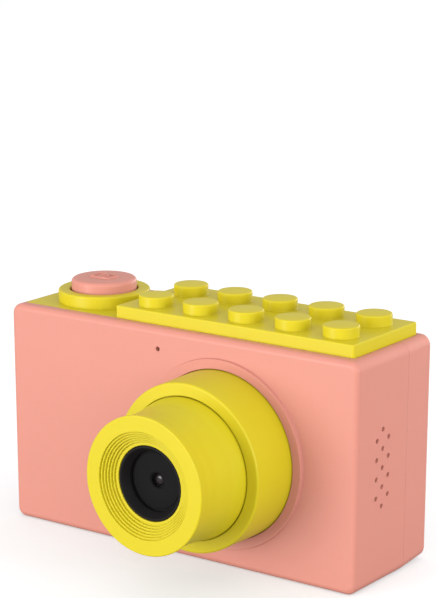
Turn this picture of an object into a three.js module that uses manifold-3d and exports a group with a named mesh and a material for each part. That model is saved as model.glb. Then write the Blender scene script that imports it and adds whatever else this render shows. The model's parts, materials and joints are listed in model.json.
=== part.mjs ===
// Kids digital camera: a small box-shaped camera in two moulded shells, with a block-and-stud top
// plate, a round shutter button, a stubby fixed lens, a screen and keys on the back and the
// electronics inside.
// Millimetres. Origin at the bottom centre of the case, +Z up, the lens looks along -Y, and +X is
// on the right of someone facing the lens.
import * as THREE from "three";
import { LoftGeometry } from "three/addons/geometries/LoftGeometry.js";
import { mergeVertices } from "three/addons/utils/BufferGeometryUtils.js";
import Module from "manifold-3d";

const wasm = await Module();
wasm.setup();

// Case
const CASE_WIDTH = 84;
const CASE_DEPTH = 26.8;
const CASE_HEIGHT = 45.6;
const EDGE_RADIUS = 1.2;
const TOP_CORNER_RADIUS = 2.1;
const BOTTOM_CORNER_RADIUS = 1.9;
const RIGHT_LEAN = 0.8;
const WALL = 1.8;
const TOP_WALL = 2.8;
const SPLIT_Y = 4.4;
const SEAM = 0.04;
const SIDE_DRAFT = 0.3;
const BOTTOM_DRAFT = 0.6;
const FRONT_Y = -CASE_DEPTH / 2;
const BACK_Y = CASE_DEPTH / 2;
const FRONT_INNER_Y = FRONT_Y + WALL;
const BACK_INNER_Y = BACK_Y - WALL;
const SIDE_X = CASE_WIDTH / 2;
const SIDE_INNER_X = SIDE_X - WALL;
const TOP_INNER_Z = CASE_HEIGHT - TOP_WALL;

// Top plate
const PLATE_X = [-40.2, 39.7];
const PLATE_Y = [-10.8, 11.6];
const PLATE_THICKNESS = 1.2;
const PLATE_GAP = 0.1;
const PLATE_CORNER_RADIUS = 0.5;
const PLATE_FLOOR_Z = CASE_HEIGHT - PLATE_THICKNESS - 0.05;
const BLOCK_LEFT_X = -16.6;
const BLOCK_TOP_Z = 48.05;
const BLOCK_SKIN = 1.45;
const STUD_RADIUS = 3.5;
const STUD_TOP_Z = 50.15;
const STUD_FIRST_X = -10.35;
const STUD_PITCH_X = 10.97;
const STUD_COLUMNS = 5;
const STUD_ROWS_Y = [-5.55, 5.95];
const PLATE_SCREWS = [
  [-4.87, -5],
  [28.05, -5],
];

// Shutter button
const BUTTON_X = -28.5;
const BUTTON_Y = 0.3;
const BUTTON_RADIUS = 6.7;
const BUTTON_TOP_Z = 50.4;
const ICON_HEIGHT = 0.25;
const BUTTON_FLANGE_RADIUS = 7.5;
const BUTTON_TRAVEL = 1.2;
const COLLAR_RADIUS = 9.4;
const COLLAR_TOP_Z = 48.1;
const WELL_RADIUS = 7;
const WELL_SHOULDER_Z = 46.4;
const WELL_WIDE_RADIUS = 7.8;
const SKIRT_RADIUS = 8.65;
const SKIRT_BOTTOM_Z = 42.3;
const CASE_WELL_RADIUS = 9;
const STEM_RADIUS = 1.8;
const STEM_TIP_Z = 39.95;
const GUIDE_FLOOR_Z = 42.05;
const GUIDE_BOTTOM_Z = 41;
const SPRING_RADIUS = 3.6;
const SPRING_WIRE_RADIUS = 0.3;
const SPRING_BOTTOM_Z = 42.1;
const SPRING_TOP_Z = 48.3;
const SPRING_TURNS = 4;
const SHUTTER_BOARD_TOP_Z = 35.7;

// Lens, measured from the lens axis
const LENS_X = 11.26;
const LENS_Z = 22.8;
const LENS_SEGMENTS = 32;
const FLANGE_RADIUS = 18.9;
const FLANGE_FLAT_RADIUS = 17.6;
const FLANGE_HEIGHT = 0.8;
const BASE_RADIUS = 16.66;
const BASE_DRAFT = 0.2;
const BASE_CLEARANCE = 0.2;
const BASE_FRONT_Y = -24.8;
const SEAT_Y = FRONT_Y + 0.9;
const BARREL_RADIUS = 14;
const BARREL_BACK_Y = -23.85;
const RIM_RADIUS = 13.5;
const RIM_Y = -38.1;
const CONE_OUTER_RADIUS = 10.4;
const CONE_INNER_RADIUS = 7.35;
const CONE_BACK_Y = -36.1;
const CONE_STEPS = 4;
const LENS_SCREW_CIRCLE = 11.2;
const LENS_SCREW_ANGLES = [90, 210, 330];

// Boards and fastenings
const BOARD_FRONT_Y = 5;
const BOARD_BACK_Y = 6.2;
const COVER_SCREWS = [
  ["top_left", -15.8, 41],
  ["top_right", 36.8, 41],
  ["bottom_left", -34.5, 5],
  ["bottom_right", 36.8, 5],
];
const BOARD_SCREWS = [
  ["left", -37.6, 28.2],
  ["bottom", -17, 6.5],
  ["right", 35.6, 32.8],
];

// Screen
const LCD_X = [-14, 32.7];
const LCD_Y = [8.9, 11.2];
const LCD_Z = [3.1, 37.8];
const VIEW_X = [-8.4, 27.1];
const VIEW_Z = [6.3, 34.6];
const WINDOW_X = [-10.9, 29.6];
const WINDOW_Z = [3.9, 37];

// Keys on the back: name, centre x, centre z, width, height
const KEYS = [
  ["up", -26, 25.1, 7, 4.6],
  ["down", -26, 11.9, 7, 4.6],
  ["left", -19.4, 18.5, 4.6, 7],
  ["right", -32.6, 18.5, 4.6, 7],
  ["ok", -26, 18.5, 5.8, 5.8],
  ["play", -30, 33, 7, 4],
  ["power", -18.6, 33, 7, 4],
];
const KEY_CORNER = 1.9;
const KEY_GAP = 0.25;
const KEY_PROUD = 0.8;
const KEY_FLANGE = 0.5;

// Side openings
const SPEAKER_Y = -4.15;
const SPEAKER_Z = 23.2;
const SPEAKER_HOLE_RADIUS = 0.5;
const SPEAKER_PITCH_Z = 3.8;
const SPEAKER_PITCH_Y = 2.05;
const CARD_Z = [13.65, 24.65];
const CARD_SLOT_Y = 2.95;
const CARD_SLOT_Z = [12.9, 25.4];
const USB_Y = 7.8;
const USB_Z = 35.25;
const LED_Y = 3.7;
const LED_Z = 34.85;
const NOTCH_Y = [0.9, 3.8];
const NOTCH_TOP_Z = 6.2;
const MIC_X = -4.14;
const MIC_Z = 41.45;
const MIC_CAPSULE_Z = 40.15;

// Looks
const COLOURS = {
  pink: [0xf3a08e, 0.42, 0],
  yellow: [0xf0dc2e, 0.38, 0],
  black: [0x161416, 0.4, 0],
  darkGrey: [0x2a2829, 0.45, 0],
  glass: [0x30343c, 0.05, 0],
  smoke: [0x1c1e22, 0.08, 0],
  steel: [0xb9bcc0, 0.3, 1],
  zinc: [0x8f9296, 0.35, 1],
  board: [0x1f6b3a, 0.55, 0],
  chip: [0x1b1b1d, 0.5, 0],
  film: [0xc07a28, 0.5, 0],
  battery: [0xc9ccd0, 0.35, 0.6],
  rubber: [0x222222, 0.85, 0],
  cable: [0x8e1f1f, 0.6, 0],
  lamp: [0xf4f0e0, 0.3, 0],
};

// ---------- solids ----------

function toSolid(geometry) {
  const bare = new THREE.BufferGeometry().copy(geometry);
  bare.deleteAttribute("normal");
  bare.deleteAttribute("uv");
  const merged = mergeVertices(bare, 1e-4);
  const vertProperties = new Float32Array(merged.attributes.position.array);
  const triVerts = new Uint32Array(merged.index.array);
  return new wasm.Manifold(new wasm.Mesh({ numProp: 3, vertProperties, triVerts }));
}

function toGeometry(solid) {
  const mesh = solid.getMesh();
  const geometry = new THREE.BufferGeometry();
  const position = new THREE.BufferAttribute(new Float32Array(mesh.vertProperties), 3);
  geometry.setAttribute("position", position);
  geometry.setIndex(new THREE.BufferAttribute(new Uint32Array(mesh.triVerts), 1));
  geometry.computeVertexNormals();
  return geometry;
}

function join(pieces) {
  let solid = toSolid(pieces[0]);
  for (const piece of pieces.slice(1)) {
    solid = solid.add(toSolid(piece));
  }
  return toGeometry(solid);
}

function cut(piece, tools) {
  let solid = toSolid(piece);
  for (const tool of tools) {
    solid = solid.subtract(toSolid(tool));
  }
  return toGeometry(solid);
}

function keep(piece, region) {
  return toGeometry(toSolid(piece).intersect(toSolid(region)));
}

// ---------- plain shapes ----------

function block(x, y, z) {
  const geometry = new THREE.BoxGeometry(x[1] - x[0], y[1] - y[0], z[1] - z[0]);
  return geometry.translate((x[0] + x[1]) / 2, (y[0] + y[1]) / 2, (z[0] + z[1]) / 2);
}

// Turns a shape built along +Z so that it runs along another axis: along "y" the drawing plane is
// x and z, and along "x" it is y and z.
function along(axis, geometry) {
  const turn = new THREE.Matrix4();
  if (axis === "y") {
    turn.makeBasis(
      new THREE.Vector3(1, 0, 0),
      new THREE.Vector3(0, 0, 1),
      new THREE.Vector3(0, -1, 0),
    );
  }
  if (axis === "x") {
    turn.makeBasis(
      new THREE.Vector3(0, 1, 0),
      new THREE.Vector3(0, 0, 1),
      new THREE.Vector3(1, 0, 0),
    );
  }
  return geometry.applyMatrix4(turn);
}

// A flat outline carried from one position to another along an axis.
function slab(axis, outline, from, to, options = {}) {
  const geometry = new THREE.ExtrudeGeometry(outline, {
    depth: to - from,
    bevelEnabled: false,
    curveSegments: 2,
    ...options,
  });
  along(axis, geometry);
  if (axis === "x") {
    return geometry.translate(from, 0, 0);
  }
  if (axis === "y") {
    return geometry.translate(0, to, 0);
  }
  return geometry.translate(0, 0, from);
}

function rod(axis, radius, from, to, centre, segments = 16) {
  const geometry = new THREE.CylinderGeometry(radius, radius, to - from, segments);
  const middle = (from + to) / 2;
  if (axis === "x") {
    return geometry.rotateZ(Math.PI / 2).translate(middle, centre[0], centre[1]);
  }
  if (axis === "y") {
    return geometry.translate(centre[0], middle, centre[1]);
  }
  return geometry.rotateX(Math.PI / 2).translate(centre[0], centre[1], middle);
}

// A profile of [radius, position] pairs turned about the axis it is measured along.
function turned(axis, profile, segments = LENS_SEGMENTS) {
  const points = profile.map((pair) => new THREE.Vector2(pair[0], pair[1]));
  if (THREE.ShapeUtils.area(points) < 0) {
    points.reverse();
  }
  const geometry = new THREE.LatheGeometry(points, segments);
  return axis === "z" ? geometry.rotateX(Math.PI / 2) : geometry;
}

function ring(axis, outer, inner, from, to, segments = LENS_SEGMENTS) {
  const profile = [
    [outer, from],
    [outer, to],
    [inner, to],
    [inner, from],
    [outer, from],
  ];
  return turned(axis, profile, segments);
}

function roundedOutline(u, v, radius) {
  const shape = new THREE.Shape();
  shape.absarc(u[1] - radius, v[0] + radius, radius, -Math.PI / 2, 0, false);
  shape.absarc(u[1] - radius, v[1] - radius, radius, 0, Math.PI / 2, false);
  shape.absarc(u[0] + radius, v[1] - radius, radius, Math.PI / 2, Math.PI, false);
  shape.absarc(u[0] + radius, v[0] + radius, radius, Math.PI, Math.PI * 1.5, false);
  return shape;
}

function centredOutline(u, v, width, height, radius) {
  return roundedOutline(
    [u - width / 2, u + width / 2],
    [v - height / 2, v + height / 2],
    radius,
  );
}

// A round cable through a list of points.
function cable(points, radius) {
  const path = new THREE.CatmullRomCurve3(points.map((p) => new THREE.Vector3(...p)));
  const section = new THREE.Shape();
  section.absarc(0, 0, radius, 0, Math.PI * 2, false);
  const options = { steps: 8, extrudePath: path, curveSegments: 3, bevelEnabled: false };
  return new THREE.ExtrudeGeometry(section, options);
}

// A thin flat strip that follows a curve drawn in a plane and is as wide as [from, to] across it.
function ribbon(axis, points, thickness, from, to) {
  const curve = new THREE.SplineCurve(points.map((p) => new THREE.Vector2(...p)));
  const steps = 10;
  const left = [];
  const right = [];
  for (let i = 0; i <= steps; i += 1) {
    const point = curve.getPoint(i / steps);
    const tangent = curve.getTangent(i / steps);
    const side = new THREE.Vector2(-tangent.y, tangent.x).multiplyScalar(thickness / 2);
    left.push(point.clone().add(side));
    right.push(point.clone().sub(side));
  }
  const outline = new THREE.Shape([...right, ...left.reverse()]);
  return slab(axis, outline, from, to);
}

// ---------- case shells ----------

// One loop round the case at a depth y, moved in by an inset. The rear half draws in a little
// towards the back, and the right wall leans out by RIGHT_LEAN from its foot to its top.
function caseLoop(y, inset, topInset = inset) {
  const back = Math.max(0, (y - SPLIT_Y) / (BACK_Y - SPLIT_Y));
  const side = SIDE_X - inset - SIDE_DRAFT * back;
  const bottom = inset + BOTTOM_DRAFT * back;
  const top = CASE_HEIGHT - topInset;
  const topRadius = Math.max(TOP_CORNER_RADIUS - inset, 0.4);
  const bottomRadius = Math.max(BOTTOM_CORNER_RADIUS - inset, 0.4);
  const corners = [
    [-side + topRadius, top - topRadius, topRadius],
    [side - topRadius, top - topRadius, topRadius],
    [side - bottomRadius, bottom + bottomRadius, bottomRadius],
    [-side + bottomRadius, bottom + bottomRadius, bottomRadius],
  ];
  const steps = 3;
  const points = [];
  corners.forEach(([x, z, radius], corner) => {
    for (let i = 0; i <= steps; i += 1) {
      const angle = ((corner + i / steps) * Math.PI) / 2;
      const dx = -Math.cos(angle) * radius;
      const dz = Math.sin(angle) * radius;
      const lean = x > 0 ? RIGHT_LEAN * ((z + dz) / CASE_HEIGHT - 0.5) : 0;
      points.push(new THREE.Vector3(x + dx + lean, y, z + dz));
    }
  });
  return points;
}

function caseOuter() {
  const steps = 3;
  const front = [];
  const back = [];
  for (let i = 0; i <= steps; i += 1) {
    const angle = ((i / steps) * Math.PI) / 2;
    const inward = EDGE_RADIUS * (1 - Math.sin(angle));
    const depth = EDGE_RADIUS * (1 - Math.cos(angle));
    front.push(caseLoop(FRONT_Y + depth, inward));
    back.unshift(caseLoop(BACK_Y - depth, inward));
  }
  const loops = [...front, caseLoop(SPLIT_Y, 0), ...back];
  return new LoftGeometry(loops, { capStart: true, capEnd: true });
}

function caseCavity() {
  const loops = [
    caseLoop(FRONT_INNER_Y, WALL, TOP_WALL),
    caseLoop(SPLIT_Y, WALL, TOP_WALL),
    caseLoop(BACK_INNER_Y, WALL, TOP_WALL),
  ];
  return new LoftGeometry(loops, { capStart: true, capEnd: true });
}

// Shapes both shells lose: the seat of the top plate and the round well of the shutter button.
function topOpenings() {
  const outline = roundedOutline(
    [PLATE_X[0] - PLATE_GAP, PLATE_X[1] + PLATE_GAP],
    [PLATE_Y[0] - PLATE_GAP, PLATE_Y[1] + PLATE_GAP],
    PLATE_CORNER_RADIUS + PLATE_GAP,
  );
  const seat = slab("z", outline, PLATE_FLOOR_Z, CASE_HEIGHT + 1);
  const centre = [BUTTON_X, BUTTON_Y];
  const well = rod("z", CASE_WELL_RADIUS, TOP_INNER_Z - 2, CASE_HEIGHT + 1, centre, 32);
  return [seat, well];
}

// The low flange round the lens: a narrow flat next to the tube and a slope to the front wall.
function lensFlange() {
  const flange = turned("y", [
    [0, FRONT_Y - FLANGE_HEIGHT],
    [FLANGE_FLAT_RADIUS, FRONT_Y - FLANGE_HEIGHT],
    [FLANGE_RADIUS, FRONT_Y],
    [FLANGE_RADIUS, FRONT_Y + 1],
    [0, FRONT_Y + 1],
  ]);
  return flange.translate(LENS_X, 0, LENS_Z);
}

// The round seat of the lens tube, the passage for its flexible strip and its screw holes.
function lensOpenings() {
  const seatRadius = BASE_RADIUS + BASE_DRAFT + BASE_CLEARANCE;
  const seat = turned("y", [
    [0, FRONT_Y - 2],
    [seatRadius, FRONT_Y - 2],
    [seatRadius, SEAT_Y],
    [0, SEAT_Y],
  ]);
  seat.translate(LENS_X, 0, LENS_Z);
  const passage = rod("y", 8.2, FRONT_Y, FRONT_Y + 5, [LENS_X, LENS_Z], 24);
  const screwHoles = lensScrewCentres().map(([x, z]) =>
    rod("y", 1.2, FRONT_Y, FRONT_Y + 5, [LENS_X + x, LENS_Z + z], 12),
  );
  return [seat, passage, ...screwHoles];
}

function lensScrewCentres() {
  return LENS_SCREW_ANGLES.map((degrees) => {
    const angle = (degrees * Math.PI) / 180;
    return [LENS_SCREW_CIRCLE * Math.cos(angle), LENS_SCREW_CIRCLE * Math.sin(angle)];
  });
}

function speakerHoles() {
  const holes = [];
  for (const column of [-1, 0, 1]) {
    const count = column === 0 ? 5 : 4;
    for (let i = 0; i < count; i += 1) {
      const y = SPEAKER_Y + column * SPEAKER_PITCH_Y;
      const z = SPEAKER_Z + (i - (count - 1) / 2) * SPEAKER_PITCH_Z;
      holes.push(rod("x", SPEAKER_HOLE_RADIUS, SIDE_INNER_X - 1, SIDE_X + 2, [y, z], 8));
    }
  }
  return holes;
}

// The strap notch in the lower left edge, with the round post a strap loops behind.
function strapPocketBlock() {
  return block([-SIDE_INNER_X - 0.3, -36.4], [-4.2, SPLIT_Y - SEAM / 2], [1, 8]);
}

function strapPocketHollow() {
  const mouth = block([-SIDE_X - 1, -37.4], NOTCH_Y, [-1, NOTCH_TOP_Z]);
  const room = block([-SIDE_INNER_X, -37.4], [-2.8, NOTCH_Y[0] + 1], [1.2, NOTCH_TOP_Z]);
  const post = rod("x", 2.3, -SIDE_INNER_X - 0.6, -37, [0.5, 3.5], 20);
  return cut(join([mouth, room]), [post]);
}

function frontCase() {
  const frontRegion = block([-50, 50], [FRONT_Y - 1, SPLIT_Y - SEAM / 2], [-1, 50]);
  const shell = cut(keep(caseOuter(), frontRegion), [caseCavity()]);
  const bosses = COVER_SCREWS.map(([, x, z]) =>
    rod("y", 2.6, FRONT_INNER_Y - 0.3, SPLIT_Y - 0.1, [x, z], 12),
  );
  const bossHoles = COVER_SCREWS.map(([, x, z]) => rod("y", 0.95, -3, SPLIT_Y + 1, [x, z], 8));
  const lensSeat = rod("y", 18, FRONT_INNER_Y - 0.3, FRONT_INNER_Y + 1.2, [LENS_X, LENS_Z], 24);
  const speakerRibs = [
    block([35.5, SIDE_X - 0.6], [-9.6, 1.4], [12, 13]),
    block([35.5, SIDE_X - 0.6], [-9.6, 1.4], [33.4, 34.4]),
  ];
  const batteryRibs = [
    block([-8.4, -7.4], [FRONT_INNER_Y - 0.3, -5], [8, 32]),
    block([-31.5, -8], [FRONT_INNER_Y - 0.3, -5], [7, 7.9]),
  ];
  const body = join([
    shell,
    ...bosses,
    lensSeat,
    lensFlange(),
    ...speakerRibs,
    ...batteryRibs,
    strapPocketBlock(),
  ]);
  const plateScrewHoles = PLATE_SCREWS.map((centre) =>
    rod("z", 1.2, TOP_INNER_Z - 1, CASE_HEIGHT, centre, 12),
  );
  return cut(body, [
    ...topOpenings(),
    ...lensOpenings(),
    ...speakerHoles(),
    ...bossHoles,
    ...plateScrewHoles,
    strapPocketHollow(),
    block([-SIDE_X - 1, -SIDE_INNER_X + 0.5], [CARD_SLOT_Y, SPLIT_Y + 1], CARD_SLOT_Z),
    rod("x", 0.5, -SIDE_X - 1, -SIDE_INNER_X + 0.5, [LED_Y, LED_Z], 10),
    rod("y", 0.55, FRONT_Y - 1, FRONT_INNER_Y + 0.5, [MIC_X, MIC_Z], 10),
  ]);
}

// Tongues that stand out of the rear shell and locate the front shell.
function shellTongues() {
  const root = [SPLIT_Y + SEAM / 2, SPLIT_Y + 2];
  const tip = [SPLIT_Y - 1.5, SPLIT_Y + 0.3];
  return [
    block([-28, 30], root, [1.5, 2.9]),
    block([-28, 30], tip, [WALL + 0.12, 2.9]),
    block([38.6, SIDE_X - 0.6], root, [12, 34]),
    block([38.6, SIDE_INNER_X - RIGHT_LEAN / 2 - 0.12], tip, [12, 34]),
    block([-12, 32], root, [41.7, TOP_INNER_Z + 0.4]),
    block([-12, 32], tip, [41.7, TOP_INNER_Z - 0.12]),
  ];
}

function rearCase() {
  const rearRegion = block([-50, 50], [SPLIT_Y + SEAM / 2, BACK_Y + 1], [-1, 50]);
  const shell = cut(keep(caseOuter(), rearRegion), [caseCavity()]);
  const posts = COVER_SCREWS.map(([, x, z]) =>
    rod("y", 3, SPLIT_Y + SEAM / 2, BACK_INNER_Y + 0.3, [x, z], 12),
  );
  const boardPosts = BOARD_SCREWS.map(([, x, z]) =>
    rod("y", 1.8, BOARD_BACK_Y + 0.05, BACK_INNER_Y + 0.3, [x, z], 10),
  );
  const body = join([shell, ...posts, ...boardPosts, ...shellTongues()]);
  const screwSinks = COVER_SCREWS.flatMap(([, x, z]) => [
    rod("y", 2.2, BACK_Y - 1.5, BACK_Y + 1, [x, z], 12),
    rod("y", 1.2, SPLIT_Y - 1, BACK_Y, [x, z], 8),
  ]);
  const boardHoles = BOARD_SCREWS.map(([, x, z]) =>
    rod("y", 0.85, BOARD_BACK_Y - 1, BACK_INNER_Y - 0.5, [x, z], 8),
  );
  const keyHoles = KEYS.map(([, x, z, width, height]) => {
    const outline = keyOutline(x, z, width, height, KEY_GAP);
    return slab("y", outline, BACK_INNER_Y - 1, BACK_Y + 1);
  });
  const usbOutline = centredOutline(USB_Y, USB_Z, 3.2, 8.8, 1.59);
  return cut(body, [
    ...topOpenings(),
    ...screwSinks,
    ...boardHoles,
    ...keyHoles,
    block(VIEW_X, [BACK_INNER_Y - 1, BACK_Y + 1], VIEW_Z),
    slab("y", windowOutline(0.1), BACK_Y - 1.1, BACK_Y + 1),
    slab("x", usbOutline, -SIDE_X - 1, -SIDE_INNER_X + 1),
  ]);
}

// ---------- top plate and shutter button ----------

function topPlate() {
  const outline = roundedOutline(PLATE_X, PLATE_Y, PLATE_CORNER_RADIUS);
  const baseBottom = CASE_HEIGHT - PLATE_THICKNESS;
  const base = slab("z", outline, baseBottom, CASE_HEIGHT);
  const blockOutline = roundedOutline(
    [BLOCK_LEFT_X, PLATE_X[1]],
    PLATE_Y,
    PLATE_CORNER_RADIUS,
  );
  const raised = slab("z", blockOutline, baseBottom + 0.5, BLOCK_TOP_Z);
  const hollow = block(
    [BLOCK_LEFT_X + BLOCK_SKIN, PLATE_X[1] - BLOCK_SKIN],
    [PLATE_Y[0] + BLOCK_SKIN, PLATE_Y[1] - BLOCK_SKIN],
    [baseBottom - 1, BLOCK_TOP_Z - BLOCK_SKIN],
  );
  const studs = [];
  for (let column = 0; column < STUD_COLUMNS; column += 1) {
    for (const y of STUD_ROWS_Y) {
      const centre = [STUD_FIRST_X + column * STUD_PITCH_X, y];
      studs.push(rod("z", STUD_RADIUS, BLOCK_TOP_Z - 0.5, STUD_TOP_Z, centre, 20));
    }
  }
  const bosses = PLATE_SCREWS.map((centre) =>
    rod("z", 2.2, baseBottom, BLOCK_TOP_Z - 1, centre, 12),
  );
  const bossHoles = PLATE_SCREWS.map((centre) =>
    rod("z", 0.9, baseBottom - 1, BLOCK_TOP_Z - 1, centre, 10),
  );
  const collar = turned("z", [
    [COLLAR_RADIUS, baseBottom + 0.3],
    [COLLAR_RADIUS, COLLAR_TOP_Z - 0.35],
    [COLLAR_RADIUS - 0.35, COLLAR_TOP_Z],
    [WELL_RADIUS + 0.3, COLLAR_TOP_Z],
    [WELL_RADIUS, COLLAR_TOP_Z - 0.3],
    [WELL_RADIUS, baseBottom + 0.3],
    [COLLAR_RADIUS, baseBottom + 0.3],
  ]);
  collar.translate(BUTTON_X, BUTTON_Y, 0);
  const skirtTop = baseBottom + 0.4;
  const skirt = ring("z", SKIRT_RADIUS, WELL_WIDE_RADIUS, SKIRT_BOTTOM_Z, skirtTop);
  skirt.translate(BUTTON_X, BUTTON_Y, 0);
  const centre = [BUTTON_X, BUTTON_Y];
  const well = rod("z", WELL_RADIUS, baseBottom - 1, CASE_HEIGHT + 1, centre, LENS_SEGMENTS);
  const shoulder = rod(
    "z",
    WELL_WIDE_RADIUS,
    SKIRT_BOTTOM_Z - 1,
    WELL_SHOULDER_Z,
    centre,
    LENS_SEGMENTS,
  );
  const moulding = cut(join([base, raised]), [hollow]);
  const dressed = join([cut(moulding, [well]), ...studs, ...bosses, collar, skirt]);
  return cut(dressed, [shoulder, ...bossHoles]);
}

// A plain camera pictogram, standing a little proud of the button.
function buttonIcon() {
  const frame = block([-2.7, 2.7], [-1.9, 1.9], [49.6, BUTTON_TOP_Z + ICON_HEIGHT]);
  const inside = block([-2.25, 2.25], [-1.45, 1.45], [49, BUTTON_TOP_Z + 1]);
  const lens = rod("z", 1.05, 49.6, BUTTON_TOP_Z + ICON_HEIGHT, [0, 0], 12);
  const lensInside = rod("z", 0.6, 49, BUTTON_TOP_Z + 1, [0, 0], 8);
  const hump = block([-1, 1], [1.7, 2.5], [49.6, BUTTON_TOP_Z + ICON_HEIGHT]);
  return join([cut(frame, [inside]), cut(lens, [lensInside]), hump]);
}

function shutterButton() {
  const cap = turned("z", [
    [0, BUTTON_TOP_Z],
    [3, BUTTON_TOP_Z - 0.03],
    [BUTTON_RADIUS - 0.8, BUTTON_TOP_Z - 0.13],
    [BUTTON_RADIUS - 0.24, BUTTON_TOP_Z - 0.4],
    [BUTTON_RADIUS, BUTTON_TOP_Z - 0.95],
    [BUTTON_RADIUS, 46.15],
    [BUTTON_FLANGE_RADIUS, 46.15],
    [BUTTON_FLANGE_RADIUS, 45.35],
    [5.9, 45.35],
    [5.9, 48.5],
    [STEM_RADIUS, 48.8],
    [STEM_RADIUS, STEM_TIP_Z],
    [0, STEM_TIP_Z],
  ], 28);
  return join([cap, buttonIcon()]);
}

function shutterSpring() {
  const points = [];
  const low = SPRING_BOTTOM_Z + SPRING_WIRE_RADIUS;
  const high = SPRING_TOP_Z - SPRING_WIRE_RADIUS;
  const count = SPRING_TURNS * 10;
  for (let i = 0; i <= count; i += 1) {
    const angle = (i / 10) * Math.PI * 2;
    const x = SPRING_RADIUS * Math.cos(angle);
    const y = SPRING_RADIUS * Math.sin(angle);
    points.push(new THREE.Vector3(x, y, low + ((high - low) * i) / count));
  }
  const path = new THREE.CatmullRomCurve3(points);
  const wire = new THREE.Shape();
  wire.absarc(0, 0, SPRING_WIRE_RADIUS, 0, Math.PI * 2, false);
  const options = { steps: count, extrudePath: path, curveSegments: 3, bevelEnabled: false };
  return new THREE.ExtrudeGeometry(wire, options);
}

// The disc that closes the button well from below, guides the stem and carries the switch board.
function shutterGuide() {
  const disc = turned("z", [
    [SKIRT_RADIUS, GUIDE_BOTTOM_Z],
    [SKIRT_RADIUS, GUIDE_FLOOR_Z + 0.15],
    [7.65, GUIDE_FLOOR_Z + 0.15],
    [7.65, 43.3],
    [7, 43.3],
    [7, GUIDE_FLOOR_Z],
    [2.1, GUIDE_FLOOR_Z],
    [2.1, GUIDE_BOTTOM_Z],
    [SKIRT_RADIUS, GUIDE_BOTTOM_Z],
  ], 24);
  const legs = [-6.4, 6.4].map((x) =>
    rod("z", 1.3, SHUTTER_BOARD_TOP_Z + 0.05, GUIDE_BOTTOM_Z + 0.4, [x, -0.7], 10),
  );
  return join([disc, ...legs]);
}

function shutterBoard() {
  const outline = roundedOutline([-8, 8], [-5.7, 3.9], 1);
  return slab("z", outline, SHUTTER_BOARD_TOP_Z - 1, SHUTTER_BOARD_TOP_Z);
}

function shutterSwitch() {
  const low = SHUTTER_BOARD_TOP_Z + 0.03;
  const body = block([-3, 3], [-3, 3], [low, low + 2.15]);
  const tip = STEM_TIP_Z - BUTTON_TRAVEL - 0.06;
  return join([body, rod("z", 1.7, low + 2, tip, [0, 0], 12)]);
}

// ---------- lens ----------

function lensBase() {
  const tube = turned("y", [
    [BASE_RADIUS + BASE_DRAFT, SEAT_Y - 0.05],
    [BASE_RADIUS, BASE_FRONT_Y + 0.45],
    [BASE_RADIUS - 0.13, BASE_FRONT_Y + 0.13],
    [BASE_RADIUS - 0.45, BASE_FRONT_Y],
    [BARREL_RADIUS + 0.22, BASE_FRONT_Y],
    [BARREL_RADIUS + 0.22, BARREL_BACK_Y + 0.05],
    [8.4, BARREL_BACK_Y + 0.05],
    [8.4, BARREL_BACK_Y + 1.35],
    [BASE_RADIUS - 1.66, BARREL_BACK_Y + 1.35],
    [BASE_RADIUS - 1.66, SEAT_Y - 0.05],
    [BASE_RADIUS + BASE_DRAFT, SEAT_Y - 0.05],
  ]);
  const columns = lensScrewCentres().map((centre) =>
    rod("y", 2.6, BARREL_BACK_Y + 1, SEAT_Y - 0.05, centre, 10),
  );
  const holes = lensScrewCentres().map((centre) =>
    rod("y", 1.15, BASE_FRONT_Y - 1, SEAT_Y + 1, centre, 8),
  );
  return cut(join([tube, ...columns]), holes);
}

// Fine steps from the rim down to the dark disc.
function coneSteps() {
  const points = [];
  const stepRadius = (CONE_OUTER_RADIUS - CONE_INNER_RADIUS) / CONE_STEPS;
  const stepDepth = (CONE_BACK_Y - RIM_Y) / CONE_STEPS;
  for (let i = 0; i < CONE_STEPS; i += 1) {
    const radius = CONE_OUTER_RADIUS - stepRadius * i;
    points.push([radius, RIM_Y + stepDepth * i]);
    points.push([radius, RIM_Y + stepDepth * (i + 1)]);
  }
  points.push([CONE_INNER_RADIUS, CONE_BACK_Y]);
  return points;
}

function lensBarrel() {
  const tube = turned("y", [
    [BARREL_RADIUS - 0.1, BARREL_BACK_Y],
    [BARREL_RADIUS, BASE_FRONT_Y - 0.3],
    [13.45, -28.4],
    [13.05, -32.6],
    [13.2, -36],
    [RIM_RADIUS, RIM_Y + 0.5],
    [RIM_RADIUS - 0.06, RIM_Y + 0.12],
    [RIM_RADIUS - 0.25, RIM_Y],
    ...coneSteps(),
    [CONE_INNER_RADIUS, -34.95],
    [8.8, -34.95],
    [8.8, -31],
    [10, -31],
    [10, -34.95],
    [11.6, -34.95],
    [12.1, -30],
    [12.3, BARREL_BACK_Y],
    [BARREL_RADIUS - 0.1, BARREL_BACK_Y],
  ]);
  const bosses = lensScrewCentres().map((centre) =>
    rod("y", 2.2, -29, BARREL_BACK_Y, centre, 10),
  );
  const holes = lensScrewCentres().map((centre) =>
    rod("y", 1.05, -28, BARREL_BACK_Y + 1, centre, 8),
  );
  return cut(join([tube, ...bosses]), holes);
}

function lensHood() {
  return turned("y", [
    [7.2, -36],
    [6.8, -36.05],
    [5.85, -34.4],
    [5.85, -33.9],
    [8.6, -33.9],
    [8.6, -34.85],
    [7.2, -34.85],
    [7.2, -36],
  ], 28);
}

function lensIris() {
  return ring("y", 6.4, 1.35, -33.85, -33.05, 24);
}

function lensRetainer() {
  return turned("y", [
    [8.65, -33],
    [3.35, -33],
    [3.35, -31],
    [6.25, -31],
    [6.25, -29.8],
    [8.65, -29.8],
    [8.65, -33],
  ], 20);
}

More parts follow.
